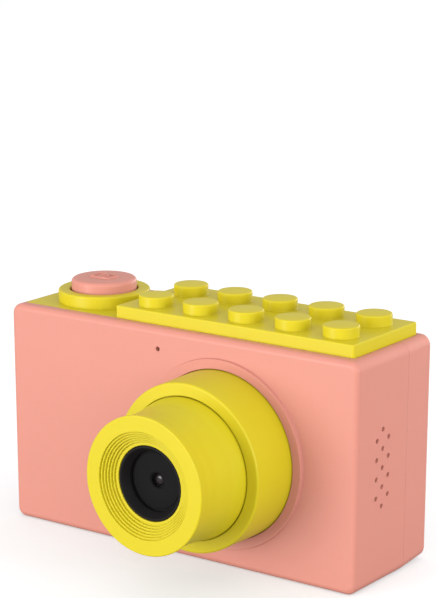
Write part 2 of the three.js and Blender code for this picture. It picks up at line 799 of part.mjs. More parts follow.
function cameraModule() {
  const holder = rod("y", 3.2, -32.95, -30.6, [0, 0], 16);
  const bodyBlock = block([-4.25, 4.25], [-30.9, -28.9], [-4.25, 4.25]);
  const bore = rod("y", 1.3, -34, -31.5, [0, 0], 12);
  return cut(join([holder, bodyBlock]), [bore]);
}

function moduleLens() {
  return turned("y", [
    [0, -33.25],
    [0.55, -33.17],
    [0.95, -32.95],
    [1.2, -32.6],
    [1.2, -31.6],
    [0, -31.6],
  ], 12);
}

function cameraFlex() {
  const points = [
    [-28.6, 3.4],
    [-28.6, -1],
    [-27.4, -3.2],
    [-22, -3.6],
    [-10, -3.4],
    [-1, -2],
    [3, 1.2],
    [4.2, 4.6],
  ];
  return ribbon("x", points, 0.22, -3, 3);
}

// ---------- screws ----------

// A slotted screw along an axis: its head runs from `head` to `neck` and its shank ends at `tip`.
function screw(axis, head, neck, tip, headRadius, shankRadius) {
  const outward = Math.sign(head - neck);
  const [from, to] = outward > 0 ? [neck, head] : [head, neck];
  const cap = rod(axis, headRadius, from, to, [0, 0], 10);
  const shankEnds = [neck + outward * 0.2, tip].sort((a, b) => a - b);
  const shank = rod(axis, shankRadius, shankEnds[0], shankEnds[1], [0, 0], 6);
  const depth = [head - outward * 0.5, head + outward].sort((a, b) => a - b);
  const length = [-headRadius * 0.7, headRadius * 0.7];
  const width = [-0.25, 0.25];
  const slot = axis === "y" ? block(length, depth, width) : block(length, width, depth);
  return cut(join([cap, shank]), [slot]);
}

// ---------- main board and what sits on it ----------

function mainBoard() {
  const outline = roundedOutline([-39.4, 37.6], [3.6, 40.4], 0.8);
  const plate = slab("y", outline, BOARD_FRONT_Y, BOARD_BACK_Y);
  const clearances = COVER_SCREWS.map(([, x, z]) =>
    rod("y", 3.4, BOARD_FRONT_Y - 1, BOARD_BACK_Y + 1, [x, z], 20),
  );
  const holes = BOARD_SCREWS.map(([, x, z]) =>
    rod("y", 1.1, BOARD_FRONT_Y - 1, BOARD_BACK_Y + 1, [x, z], 10),
  );
  return cut(plate, [...clearances, ...holes]);
}

function frontChip(x, z, height) {
  return block(x, [BOARD_FRONT_Y - 0.04 - height, BOARD_FRONT_Y - 0.04], z);
}

function cardSocket() {
  const body = frontChip([-39.3, -25], [12, 26.3], 1.91);
  const channel = block([-40, -25.9], [3.25, 4.2], [13.4, 24.9]);
  return cut(body, [channel]);
}

// A small card with one bevelled corner and a finger ridge along its outer edge.
function memoryCard() {
  const outline = new THREE.Shape([
    new THREE.Vector2(-41.3, CARD_Z[0]),
    new THREE.Vector2(-26.3, CARD_Z[0]),
    new THREE.Vector2(-26.3, CARD_Z[1] - 1.6),
    new THREE.Vector2(-27.9, CARD_Z[1]),
    new THREE.Vector2(-41.3, CARD_Z[1]),
  ]);
  const card = slab("y", outline, 3.4, 4.05);
  const ridge = block([-41.3, -40.6], [3.15, 3.6], [CARD_Z[0] + 1.2, CARD_Z[1] - 1.2]);
  return join([card, ridge]);
}

function usbPort() {
  const shellOutline = centredOutline(USB_Y, USB_Z, 3.14, 8.94, 1.56);
  const mouthOutline = centredOutline(USB_Y, USB_Z, 2.5, 8.3, 1.24);
  const body = slab("x", shellOutline, -40, -33.2);
  const mouth = slab("x", mouthOutline, -41, -35);
  const tongue = block([-39.4, -34.8], [USB_Y - 0.35, USB_Y + 0.35], [USB_Z - 3.2, USB_Z + 3.2]);
  return join([cut(body, [mouth]), tongue]);
}

function keySwitch() {
  const body = block([-2.25, 2.25], [BOARD_BACK_Y + 0.03, 9.2], [-2.25, 2.25]);
  return join([body, rod("y", 1.4, 9, 10, [0, 0], 8)]);
}

// ---------- keys ----------

function keyOutline(x, z, width, height, growth) {
  const largest = width === height ? width : KEY_CORNER;
  const radius = Math.min(largest, Math.min(width, height) / 2 - 0.1) + growth;
  return centredOutline(x, z, width + 2 * growth, height + 2 * growth, radius);
}

function keyCap(width, height) {
  const bevel = 0.35;
  const capEnd = BACK_Y + KEY_PROUD;
  const cap = slab("y", keyOutline(0, 0, width, height, 0), BACK_INNER_Y - 0.4, capEnd - bevel, {
    bevelEnabled: true,
    bevelThickness: bevel,
    bevelSize: bevel,
    bevelOffset: -bevel,
    bevelSegments: 1,
  });
  const flangeOutline = keyOutline(0, 0, width, height, KEY_FLANGE);
  const flange = slab("y", flangeOutline, 10.75, BACK_INNER_Y - 0.1);
  const stem = rod("y", 1.2, 10.65, 11, [0, 0], 8);
  return join([cap, flange, stem]);
}

// ---------- screen, battery, sound ----------

function windowOutline(growth) {
  return roundedOutline(
    [WINDOW_X[0] - growth, WINDOW_X[1] + growth],
    [WINDOW_Z[0] - growth, WINDOW_Z[1] + growth],
    1.5,
  );
}

function lcdModule() {
  const body = block(LCD_X, LCD_Y, LCD_Z);
  const view = block(VIEW_X, [LCD_Y[1] - 0.3, LCD_Y[1] + 1], VIEW_Z);
  return cut(body, [view]);
}

function lcdFlex() {
  const points = [
    [LCD_X[1] + 0.06, 9.9],
    [34.2, 9.6],
    [34.9, 8.2],
    [34.1, 6.9],
    [32.4, 6.45],
    [30.5, 6.4],
  ];
  return ribbon("z", points, 0.2, 13, 29);
}

function batteryCell() {
  const outline = roundedOutline([-38.5, -8.6], [8.1, 33.8], 1.2);
  const edge = 0.8;
  return slab("y", outline, -11.3 + edge, -5 - edge, {
    bevelEnabled: true,
    bevelThickness: edge,
    bevelSize: edge,
    bevelOffset: -edge,
    bevelSegments: 1,
  });
}

function speakerDriver() {
  const frameOutline = centredOutline(SPEAKER_Y, SPEAKER_Z, 11, 20, 3);
  const dishOutline = centredOutline(SPEAKER_Y, SPEAKER_Z, 8.8, 17.8, 2.6);
  const frame = slab("x", frameOutline, 36.4, 39.8);
  const dish = slab("x", dishOutline, 38.6, 41);
  const cone = slab("x", centredOutline(SPEAKER_Y, SPEAKER_Z, 5, 13, 2.2), 38, 39.2, {
    bevelEnabled: true,
    bevelThickness: 0.4,
    bevelSize: 0.4,
    bevelSegments: 1,
  });
  const magnet = slab("x", centredOutline(SPEAKER_Y, SPEAKER_Z, 7, 12, 1), 34.2, 36.6);
  return join([cut(frame, [dish]), cone, magnet]);
}

function microphone() {
  return rod("y", 2, -10.9, -9.2, [MIC_X, MIC_CAPSULE_Z], 20);
}

function microphoneBoot() {
  const body = block([MIC_X - 2.9, MIC_X + 2.9], [-11.5, -8.7], [37.5, 42.6]);
  const pocket = rod("y", 2.08, -11, -8, [MIC_X, MIC_CAPSULE_Z], 20);
  const soundHole = rod("y", 0.45, -12, -10.5, [MIC_X, MIC_Z], 8);
  return cut(body, [pocket, soundHole]);
}

// ---------- assembly ----------

function add(group, name, geometry, colour, position = [0, 0, 0]) {
  const [color, roughness, metalness] = COLOURS[colour];
  const material = new THREE.MeshStandardMaterial({ color, roughness, metalness });
  const mesh = new THREE.Mesh(geometry, material);
  mesh.name = name;
  mesh.position.set(...position);
  group.add(mesh);
}

function lensGroup() {
  const group = new THREE.Group();
  group.position.set(LENS_X, 0, LENS_Z);
  add(group, "lens_base", lensBase(), "yellow");
  add(group, "lens_barrel", lensBarrel(), "yellow");
  add(group, "lens_hood", lensHood(), "black");
  add(group, "lens_iris", lensIris(), "darkGrey");
  add(group, "lens_retainer", lensRetainer(), "black");
  add(group, "camera_module", cameraModule(), "chip");
  add(group, "module_lens", moduleLens(), "glass");
  add(group, "camera_flex", cameraFlex(), "film");
  lensScrewCentres().forEach(([x, z], i) => {
    const piece = screw("y", -9, -10.35, -27, 1.9, 0.95);
    add(group, `lens_screw_${i + 1}`, piece, "zinc", [x, 0, z]);
  });
  return group;
}

function shutterGroup() {
  const group = new THREE.Group();
  group.position.set(BUTTON_X, BUTTON_Y, 0);
  add(group, "shutter_button", shutterButton(), "pink");
  add(group, "shutter_spring", shutterSpring(), "steel");
  add(group, "shutter_guide", shutterGuide(), "yellow");
  add(group, "shutter_board", shutterBoard(), "board");
  add(group, "shutter_switch", shutterSwitch(), "chip");
  return group;
}

function keyGroup() {
  const group = new THREE.Group();
  for (const [name, x, z, width, height] of KEYS) {
    add(group, `key_${name}`, keyCap(width, height), "yellow", [x, 0, z]);
    add(group, `switch_${name}`, keySwitch(), "chip", [x, 0, z]);
  }
  return group;
}

function boardGroup() {
  const group = new THREE.Group();
  add(group, "main_board", mainBoard(), "board");
  add(group, "processor_chip", frontChip([16, 27], [14, 25], 1.2), "chip");
  add(group, "memory_chip", frontChip([20, 28], [29, 35], 1), "chip");
  add(group, "camera_socket", frontChip([7.5, 15], [27.6, 30.6], 1.4), "chip");
  add(group, "card_socket", cardSocket(), "steel");
  add(group, "memory_card", memoryCard(), "darkGrey");
  add(group, "usb_port", usbPort(), "steel");
  add(group, "charge_led", block([-39.2, -37.8], [3.3, 4.95], [34.1, 35.6]), "lamp");
  for (const [name, x, z] of BOARD_SCREWS) {
    add(group, `board_screw_${name}`, screw("y", 3.9, 4.95, 10, 1.6, 0.75), "zinc", [x, 0, z]);
  }
  return group;
}

function soundAndPowerGroup() {
  const group = new THREE.Group();
  add(group, "battery_cell", batteryCell(), "battery");
  add(group, "speaker_driver", speakerDriver(), "black");
  add(group, "microphone", microphone(), "zinc");
  add(group, "microphone_boot", microphoneBoot(), "rubber");
  const batteryRun = [
    [-12, -8, 34],
    [-12, -7.8, 35],
    [-11.4, -6.4, 36.4],
    [-9.8, -1, 37.2],
    [-9.2, 3, 36.2],
    [-9, 4.9, 36],
  ];
  add(group, "battery_cable", cable(batteryRun, 0.7), "cable");
  const speakerRun = [
    [35.4, -3.6, 17],
    [35.4, -3.5, 15.8],
    [33.4, -1, 12],
    [32.2, 2.6, 9.8],
    [32, 4.9, 9.6],
  ];
  add(group, "speaker_cable", cable(speakerRun, 0.6), "cable");
  const shutterRun = [
    [-20.2, 0.4, 35.2],
    [-18.6, 0.8, 35.2],
    [-17, 2.2, 34.2],
    [-16.6, 3.6, 33.4],
    [-16.6, 4.9, 33.3],
  ];
  add(group, "shutter_cable", cable(shutterRun, 0.5), "cable");
  return group;
}

function caseGroup() {
  const group = new THREE.Group();
  add(group, "front_case", frontCase(), "pink");
  add(group, "rear_case", rearCase(), "pink");
  add(group, "top_plate", topPlate(), "yellow");
  PLATE_SCREWS.forEach(([x, y], i) => {
    const piece = screw("z", 41.5, 42.74, 46.6, 1.9, 0.85);
    add(group, `plate_screw_${i + 1}`, piece, "zinc", [x, y, 0]);
  });
  for (const [name, x, z] of COVER_SCREWS) {
    const piece = screw("y", 12.95, 11.95, -2, 1.9, 0.85);
    add(group, `cover_screw_${name}`, piece, "zinc", [x, 0, z]);
  }
  const windowPane = slab("y", windowOutline(0), BACK_Y - 1.05, BACK_Y - 0.1);
  add(group, "lcd_window", windowPane, "smoke");
  add(group, "lcd_module", lcdModule(), "steel");
  add(group, "lcd_flex", lcdFlex(), "film");
  return group;
}

const camera = new THREE.Group();
camera.add(caseGroup());
camera.add(lensGroup());
camera.add(shutterGroup());
camera.add(keyGroup());
camera.add(boardGroup());
camera.add(soundAndPowerGroup());

export default camera;
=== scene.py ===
# Looks for the kids digital camera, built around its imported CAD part.
# Lengths are millimetres until they go into a mesh, where they become metres.
import json
import math

import bmesh
import bpy
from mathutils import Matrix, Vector


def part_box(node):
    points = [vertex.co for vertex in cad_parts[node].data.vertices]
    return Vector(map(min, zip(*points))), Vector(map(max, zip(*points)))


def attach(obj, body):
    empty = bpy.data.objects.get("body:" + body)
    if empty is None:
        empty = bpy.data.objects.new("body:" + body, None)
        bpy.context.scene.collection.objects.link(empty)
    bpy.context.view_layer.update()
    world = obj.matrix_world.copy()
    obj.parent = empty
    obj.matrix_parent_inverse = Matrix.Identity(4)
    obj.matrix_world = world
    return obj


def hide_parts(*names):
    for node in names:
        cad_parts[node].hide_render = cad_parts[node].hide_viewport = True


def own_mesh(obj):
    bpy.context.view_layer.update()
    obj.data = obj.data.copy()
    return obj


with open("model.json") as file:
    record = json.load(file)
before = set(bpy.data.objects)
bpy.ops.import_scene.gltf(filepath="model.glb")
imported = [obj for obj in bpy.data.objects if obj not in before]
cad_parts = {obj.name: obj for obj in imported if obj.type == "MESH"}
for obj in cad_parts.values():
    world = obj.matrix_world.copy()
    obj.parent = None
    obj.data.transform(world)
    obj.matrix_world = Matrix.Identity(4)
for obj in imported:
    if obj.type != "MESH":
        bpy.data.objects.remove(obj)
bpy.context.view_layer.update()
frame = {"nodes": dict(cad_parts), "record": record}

MM = 0.001


def span(node):
    """The two corners of a CAD node's box, in millimetres."""
    low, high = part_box(node)
    return Vector(low) / MM, Vector(high) / MM


def middle(node):
    low, high = span(node)
    return (low + high) / 2


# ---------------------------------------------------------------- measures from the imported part

FRONT_LOW, FRONT_HIGH = span("front_case")
HALF_WIDTH = -FRONT_LOW.x
HEIGHT = FRONT_HIGH.z
FLANGE_RADIUS = 18.9
FLANGE_FLOOR_RADIUS = 17.35
FLANGE_HEIGHT = 0.8
FLANGE_DIP = 0.1
FRONT_Y = FRONT_LOW.y + FLANGE_HEIGHT
BACK_Y = span("rear_case")[1].y
SEAM = 0.04
SEAM_EDGE = 0.012
SPLIT_FRONT = FRONT_HIGH.y
SPLIT_REAR = SPLIT_FRONT + SEAM
EDGE_RADIUS = 1.2
TOP_CORNER = 2.1
BOTTOM_CORNER = 1.9
SMALLEST_CORNER = 0.4
RIGHT_LEAN = 0.8
SIDE_DRAFT = 0.3
BOTTOM_DRAFT = 0.6
WALL = 1.8
TOP_WALL = 2.8
INNER_FRONT_Y = FRONT_Y + WALL
INNER_BACK_Y = BACK_Y - WALL
INNER_SIDE = HALF_WIDTH - WALL

PLATE_LOW, PLATE_HIGH = span("top_plate")
PLATE_X = (PLATE_LOW.x, PLATE_HIGH.x)
PLATE_Y = (PLATE_LOW.y, PLATE_HIGH.y)
STUD_TOP = PLATE_HIGH.z
PLATE_BOTTOM = HEIGHT - 1.2
PLATE_CORNER = 0.5
SKIRT_OUTER_RADIUS = 8.65
SKIRT_INNER_RADIUS = 7.8
SKIRT_HOLE_RADIUS = 9.0
SKIRT_ROOF = 46.4
BLOCK_LEFT = -16.6
BLOCK_TOP = STUD_TOP - 2.1
BLOCK_SKIN = 1.45
STUD_RADIUS = 3.5
STUD_FIRST = -10.35
STUD_PITCH = 10.97
STUD_ROWS = (-5.55, 5.95)
STUD_COLUMNS = 5

BUTTON = middle("shutter_button")
BUTTON_LOW, BUTTON_HIGH = span("shutter_button")
ICON_HEIGHT = 0.25
BUTTON_TOP = BUTTON_HIGH.z - ICON_HEIGHT
BUTTON_RADIUS = 6.7
BUTTON_FLANGE_TOP = 46.15
WELL_RADIUS = 7.0
COLLAR_RADIUS = 9.4
COLLAR_TOP = STUD_TOP - 2.05

LENS = middle("lens_base")
BASE_LOW, BASE_HIGH = span("lens_base")
BARREL_LOW, BARREL_HIGH = span("lens_barrel")
BASE_BACK_RADIUS = BASE_HIGH.x - LENS.x
BASE_RADIUS = BASE_BACK_RADIUS - 0.2
BASE_FRONT = BASE_LOW.y
SEAT_Y = BASE_HIGH.y
BARREL_RADIUS = BARREL_HIGH.x - LENS.x
BARREL_BACK = BARREL_HIGH.y
RIM_Y = BARREL_LOW.y
CONE_OUTER_RADIUS = 10.4
CONE_INNER_RADIUS = 7.35
CONE_DEPTH = 2.0
CONE_RINGS = 6
BARREL_FLOOR_Y = -34.95

# Each kind of screw: names, axis, which way the head faces, head radius, shank radius and
# head height.
SCREW_KINDS = (
    (("cover_screw_top_left", "cover_screw_top_right", "cover_screw_bottom_left",
      "cover_screw_bottom_right"), "y", 1, 1.9, 0.85, 1.0),
    (("lens_screw_1", "lens_screw_2", "lens_screw_3"), "y", 1, 1.9, 0.95, 1.35),
    (("plate_screw_1", "plate_screw_2"), "z", -1, 1.9, 0.85, 1.24),
    (("board_screw_left", "board_screw_bottom", "board_screw_right"), "y", -1, 1.6, 0.75, 1.05),
)
COVER_SCREWS, LENS_SCREWS, PLATE_SCREWS, BOARD_SCREWS = [
    [middle(name) for name in kind[0]] for kind in SCREW_KINDS
]
SCREW_CLEARANCE_RADIUS = 1.2
SCREW_HEAD_HOLE_RADIUS = 2.2
COVER_PILOT_RADIUS = 0.95
PLATE_PILOT_RADIUS = 0.9
BOARD_PILOT_RADIUS = 0.85
FRONT_POST_RADIUS = 2.6
REAR_POST_RADIUS = 3
PLATE_POST_RADIUS = 2.2
BOARD_POST_RADIUS = 1.8
BOARD_POST_FOOT = 6.25

KEY_NAMES = ("up", "down", "left", "right", "ok", "play", "power")
KEY_FLANGE = 0.5
KEY_GAP = 0.25
KEY_FLANGE_Y = 10.75
KEY_PIP_Y = 10.65
WINDOW_LOW, WINDOW_HIGH = span("lcd_window")
SPEAKER = middle("speaker_driver")
USB = middle("usb_port")
USB_LOW, USB_HIGH = span("usb_port")
CARD_LOW, CARD_HIGH = span("memory_card")
MIC = middle("microphone")

# How far the mouth of a hole is rounded over.
FINE_LIP = 0.1
LIP = 0.12
WIDE_LIP = 0.15

# Sides of a turned solid or hole, by how large it is.
SMALL_ROUND = 24
PEG_ROUND = 32
WELL_ROUND = 128
ROUND = 160


# ---------------------------------------------------------------- outlines and solids


def rounded(corners, steps=6, closed=True):
    """Points round a drawn line whose corners are (u, v) or (u, v, radius)."""
    out = []
    count = len(corners)
    for i, corner in enumerate(corners):
        point = Vector(corner[:2])
        radius = corner[2] if len(corner) > 2 else 0
        if radius <= 0 or (not closed and i in (0, count - 1)):
            out.append(point)
            continue
        before = (Vector(corners[i - 1][:2]) - point).normalized()
        after = (Vector(corners[(i + 1) % count][:2]) - point).normalized()
        half = math.acos(max(-1.0, min(1.0, before.dot(after)))) / 2
        reach = radius / math.tan(half)
        centre = point + (before + after).normalized() * radius / math.sin(half)
        first = point + before * reach - centre
        last = point + after * reach - centre
        sweep = math.pi - 2 * half
        for k in range(steps + 1):
            s = k / steps
            arm = first * math.sin((1 - s) * sweep) + last * math.sin(s * sweep)
            out.append(centre + arm / math.sin(sweep))
    return [(p.x, p.y) for p in out]


def rectangle(u, v, radius, steps=6):
    """An outline that can grow: rectangle(...)(growth) gives its points."""

    def grown(growth=0):
        r = max(radius + growth, 0.02)
        low_u, high_u = u[0] - growth, u[1] + growth
        low_v, high_v = v[0] - growth, v[1] + growth
        corners = [(low_u, low_v, r), (high_u, low_v, r), (high_u, high_v, r), (low_u, high_v, r)]
        return rounded(corners, steps)

    return grown


def around(u, v, width, height, radius, steps=6):
    """A rectangle given by its middle and size."""
    u_span = (u - width / 2, u + width / 2)
    v_span = (v - height / 2, v + height / 2)
    return rectangle(u_span, v_span, radius, steps)


def circle(u, v, radius, segments=32):
    """A round outline that can grow."""

    def grown(growth=0):
        out = []
        for k in range(segments):
            angle = math.tau * k / segments
            r = radius + growth
            out.append((u + r * math.cos(angle), v + r * math.sin(angle)))
        return out

    return grown


def to_space(axis, u, v, t):
    """A point (u, v) of an outline, placed at t along the axis."""
    if axis == "x":
        return (t, u, v)
    if axis == "y":
        return (u, t, v)
    return (u, v, t)


def new_object(name, points, faces):
    """A mesh object from points in millimetres, with its faces turned outwards."""
    mesh = bpy.data.meshes.new(name)
    mesh.from_pydata([Vector(p) * MM for p in points], [], faces)
    work = bmesh.new()
    work.from_mesh(mesh)
    bmesh.ops.remove_doubles(work, verts=work.verts, dist=1e-8)
    bmesh.ops.recalc_face_normals(work, faces=work.faces)
    work.to_mesh(mesh)
    work.free()
    obj = bpy.data.objects.new(name, mesh)
    bpy.context.scene.collection.objects.link(obj)
    return obj


def loft(rings):
    """Rings of the same number of points, joined one to the next and closed at both ends."""
    points = [p for ring in rings for p in ring]
    size = len(rings[0])
    faces = []
    for i in range(len(rings) - 1):
        for k in range(size):
            j = (k + 1) % size
            faces.append((i * size + k, i * size + j, (i + 1) * size + j, (i + 1) * size + k))
    faces.append(tuple(range(size)))
    faces.append(tuple(range((len(rings) - 1) * size, len(rings) * size)))
    return new_object("piece", points, faces)


def carried(axis, outline, stations):
    """An outline carried along an axis; each station is (position, growth)."""
    rings = [[to_space(axis, u, v, t) for u, v in outline(growth)] for t, growth in stations]
    return loft(rings)


def prism(axis, outline, start, end):
    """An outline carried straight from start to end."""
    return carried(axis, outline, [(start, 0), (end, 0)])


def box(x, y, z):
    """A block from a (low, high) pair along each axis."""
    return prism("z", lambda growth: [(x[0], y[0]), (x[1], y[0]), (x[1], y[1]), (x[0], y[1])], *z)


def quarter(steps):
    """Angles from 0 to a right angle."""
    return [math.pi / 2 * k / steps for k in range(steps + 1)]


def soft_prism(axis, outline, start, end, radius_start=0.0, radius_end=0.0, steps=4):
    """A prism whose edges at the two ends are rounded."""
    way = 1 if end > start else -1
    stations = []
    if radius_start:
        for a in quarter(steps):
            grow = -radius_start * (1 - math.sin(a))
            stations.append((start + way * radius_start * (1 - math.cos(a)), grow))
    else:
        stations.append((start, 0))
    if radius_end:
        for a in reversed(quarter(steps)):
            grow = -radius_end * (1 - math.sin(a))
            stations.append((end - way * radius_end * (1 - math.cos(a)), grow))
    else:
        stations.append((end, 0))
    return carried(axis, outline, stations)


def opening(axis, outline, inside, surface, lip):
    """A cutter for a hole whose mouth at the surface is rounded over."""
    way = 1 if surface > inside else -1
    stations = [(inside, 0)]
    for a in quarter(4):
        stations.append((surface - way * lip * (1 - math.sin(a)), lip * (1 - math.cos(a))))
    stations.append((surface + way, lip))
    return carried(axis, outline, stations)


def rod(axis, u, v, radius, start, end, segments=32):
    return prism(axis, circle(u, v, radius, segments), start, end)


def revolve(axis, profile, centre, segments=ROUND):
    """A profile of (radius, position) points turned about an axis through centre."""
    tiny = 1e-6
    rows = []
    points = []
    for r, t in profile:
        if r < tiny:
            rows.append([len(points)])
            points.append(to_space(axis, centre[0], centre[1], t))
            continue
        row = []
        for k in range(segments):
            angle = math.tau * k / segments
            u = centre[0] + r * math.cos(angle)
            v = centre[1] + r * math.sin(angle)
            row.append(len(points))
            points.append(to_space(axis, u, v, t))
        rows.append(row)
    open_ends = len(rows[0]) == 1 and len(rows[-1]) == 1
    pairs = list(zip(rows, rows[1:]))
    if not open_ends:
        pairs.append((rows[-1], rows[0]))
    faces = []
    for a, b in pairs:
        for k in range(segments):
            j = (k + 1) % segments
            if len(a) == 1 and len(b) == 1:
                continue
            if len(a) == 1:
                faces.append((a[0], b[k], b[j]))
            elif len(b) == 1:
                faces.append((a[k], a[j], b[0]))
            else:
                faces.append((a[k], a[j], b[j], b[k]))
    return new_object("piece", points, faces)


def bake(obj):
    """Turns an object's modifiers into its mesh."""
    graph = bpy.context.evaluated_depsgraph_get()
    made = bpy.data.meshes.new_from_object(obj.evaluated_get(graph))
    obj.modifiers.clear()
    old = obj.data
    obj.data = made
    bpy.data.meshes.remove(old)


def combine(target, tools, operation):
    """Joins or cuts the target with each tool in turn and removes the tools."""
    for tool in tools:
        step = target.modifiers.new("combine", "BOOLEAN")
        step.operation = operation
        step.solver = "MANIFOLD"
        step.object = tool
        bake(target)
        data = tool.data
        bpy.data.objects.remove(tool)
        bpy.data.meshes.remove(data)
    return target


def join(target, *tools):
    return combine(target, tools, "UNION")


def cut(target, *tools):
    return combine(target, tools, "DIFFERENCE")


def tube(points, radius, sides):
    """A round wire through points, as a mesh with closed ends."""
    path = [Vector(p) for p in points]
    rings = []
    up = None
    for i, p in enumerate(path):
        ahead = (path[min(i + 1, len(path) - 1)] - path[max(i - 1, 0)]).normalized()
        if up is None:
            up = ahead.orthogonal().normalized()
        up = (up - ahead * up.dot(ahead)).normalized()
        side = ahead.cross(up)
        ring = []
        for k in range(sides):
            angle = math.tau * k / sides
            ring.append(p + (up * math.cos(angle) + side * math.sin(angle)) * radius)
        rings.append(ring)
    return loft(rings)


# ---------------------------------------------------------------- materials


def node(tree, kind, **values):
    """A shader node with settings, or inputs named with _ for a space."""
    made = tree.nodes.new(kind)
    for key, value in values.items():
        if hasattr(made, key):
            setattr(made, key, value)
        else:
            made.inputs[key.replace("_", " ")].default_value = value
    return made


def linear(colour):
    """A display colour as the linear values that a shader takes."""
    return [c / 12.92 if c <= 0.04045 else ((c + 0.055) / 1.055) ** 2.4 for c in colour]


ROUGHNESS_SWING = 0.05
GRAIN_DEPTH = 0.01 * MM
COAT_ROUGHNESS = 0.08
SCATTER_COLOUR = (1.0, 0.55, 0.4)
SCATTER_DEPTH = 0.6 * MM


def moulded(name, colour, rough=0.4, cloud=0.03, grain=0.25, grain_size=0.16, metal=0.0,
            see_through=0.0, coat=0.0, specular=0.5, cloud_size=9.0, spill=1.0):
    """Colour that drifts by the share cloud, roughness that varies and a fine grain, with the
    sizes of both in millimetres. A spill below 1 greys and darkens the light that the piece
    throws onto its neighbours."""
    material = bpy.data.materials.new(name)
    material.use_nodes = True
    tree = material.node_tree
    shader = tree.nodes["Principled BSDF"]
    base = linear(colour[:3])
    place = node(tree, "ShaderNodeTexCoord")
    drift = node(tree, "ShaderNodeTexNoise", Scale=1000 / cloud_size, Detail=3.0, Roughness=0.55)
    tree.links.new(place.outputs["Object"], drift.inputs["Vector"])
    blend = node(tree, "ShaderNodeMix", data_type="RGBA")
    blend.inputs[6].default_value = [c * (1 - cloud) for c in base] + [1]
    blend.inputs[7].default_value = [min(1, c * (1 + cloud)) for c in base] + [1]
    tree.links.new(drift.outputs["Fac"], blend.inputs[0])
    colour_out = blend.outputs[2]
    if spill < 1:
        grey = sum(base) / 3
        path = node(tree, "ShaderNodeLightPath")
        muted = node(tree, "ShaderNodeMix", data_type="RGBA")
        muted.inputs[7].default_value = [(grey + (c - grey) * spill) * spill for c in base] + [1]
        tree.links.new(path.outputs["Is Diffuse Ray"], muted.inputs[0])
        tree.links.new(colour_out, muted.inputs[6])
        colour_out = muted.outputs[2]
    tree.links.new(colour_out, shader.inputs["Base Color"])
    smear = node(tree, "ShaderNodeTexNoise", Scale=1000 / (cloud_size * 0.35), Detail=4.0)
    tree.links.new(place.outputs["Object"], smear.inputs["Vector"])
    spread = node(tree, "ShaderNodeMapRange")
    spread.inputs["To Min"].default_value = max(0.02, rough - ROUGHNESS_SWING)
    spread.inputs["To Max"].default_value = rough + ROUGHNESS_SWING
    tree.links.new(smear.outputs["Fac"], spread.inputs["Value"])
    tree.links.new(spread.outputs["Result"], shader.inputs["Roughness"])
    if grain:
        fine = node(tree, "ShaderNodeTexNoise", Scale=1000 / grain_size, Detail=2.0)
        tree.links.new(place.outputs["Object"], fine.inputs["Vector"])
        bump = node(tree, "ShaderNodeBump", Strength=grain, Distance=GRAIN_DEPTH)
        tree.links.new(fine.outputs["Fac"], bump.inputs["Height"])
        tree.links.new(bump.outputs["Normal"], shader.inputs["Normal"])
    shader.inputs["Metallic"].default_value = metal
    shader.inputs["Specular IOR Level"].default_value = specular
    shader.inputs["Coat Weight"].default_value = coat
    shader.inputs["Coat Roughness"].default_value = COAT_ROUGHNESS
    if see_through:
        shader.inputs["Subsurface Weight"].default_value = see_through
        shader.inputs["Subsurface Radius"].default_value = SCATTER_COLOUR
        shader.inputs["Subsurface Scale"].default_value = SCATTER_DEPTH
    return material


PINK = (0.953, 0.627, 0.557)
YELLOW = (0.941, 0.863, 0.13)

# After the colour come roughness, cloud, grain and grain size.
LOOKS = {
    "shell_pink": moulded("shell_pink", PINK, 0.42, 0.02, 0.25, 0.22, see_through=0.06, spill=0.6),
    "plate_yellow": moulded("plate_yellow", YELLOW, 0.4, 0.02, 0.2, 0.2, see_through=0.05,
                            spill=0.6, specular=0.4),
    "hood_black": moulded("hood_black", (0.125, 0.12, 0.125), 0.6, 0.08, 0.3, 0.14, specular=0.15),
    "iris_grey": moulded("iris_grey", (0.095, 0.09, 0.092), 0.6, 0.06, 0.25, 0.12, specular=0.12),
    "chip_black": moulded("chip_black", (0.105, 0.105, 0.113), 0.55, 0.12, 0.5, 0.12),
    "lens_glass": moulded("lens_glass", (0.16, 0.13, 0.15), 0.22, 0.3, 0, coat=0.15,
                          cloud_size=0.9),
    "window_smoke": moulded("window_smoke", (0.055, 0.06, 0.07), 0.09, 0.1, 0.02, 0.6, coat=0.6),
    "film_amber": moulded("film_amber", (0.75, 0.48, 0.16), 0.35, 0.08, 0.1, 0.4),
    "screw_zinc": moulded("screw_zinc", (0.56, 0.57, 0.59), 0.32, 0.06, 0.3, 0.1, metal=1.0),
    "spring_steel": moulded("spring_steel", (0.72, 0.73, 0.75), 0.28, 0.05, 0.2, 0.12, metal=1.0),
    "board_green": moulded("board_green", (0.12, 0.42, 0.23), 0.38, 0.12, 0.3, 0.5),
    "led_white": moulded("led_white", (0.955, 0.94, 0.88), 0.25, 0.02, 0.05, 0.3, see_through=0.3),
    "battery_foil": moulded("battery_foil", (0.79, 0.8, 0.815), 0.36, 0.04, 0.8, 1.6, metal=0.7),
    "boot_rubber": moulded("boot_rubber", (0.13, 0.13, 0.13), 0.75, 0.1, 0.4, 0.12),
    "cable_red": moulded("cable_red", (0.56, 0.12, 0.12), 0.5, 0.06, 0.2, 0.15),
}
SLOT_OF = {row["node"]: row["material_slot"] for row in frame["record"]["subparts"]}
BODY_OF = {
    name: body
    for body, members in frame["record"]["behaviour"]["bodies"].items()
    for name in members
}


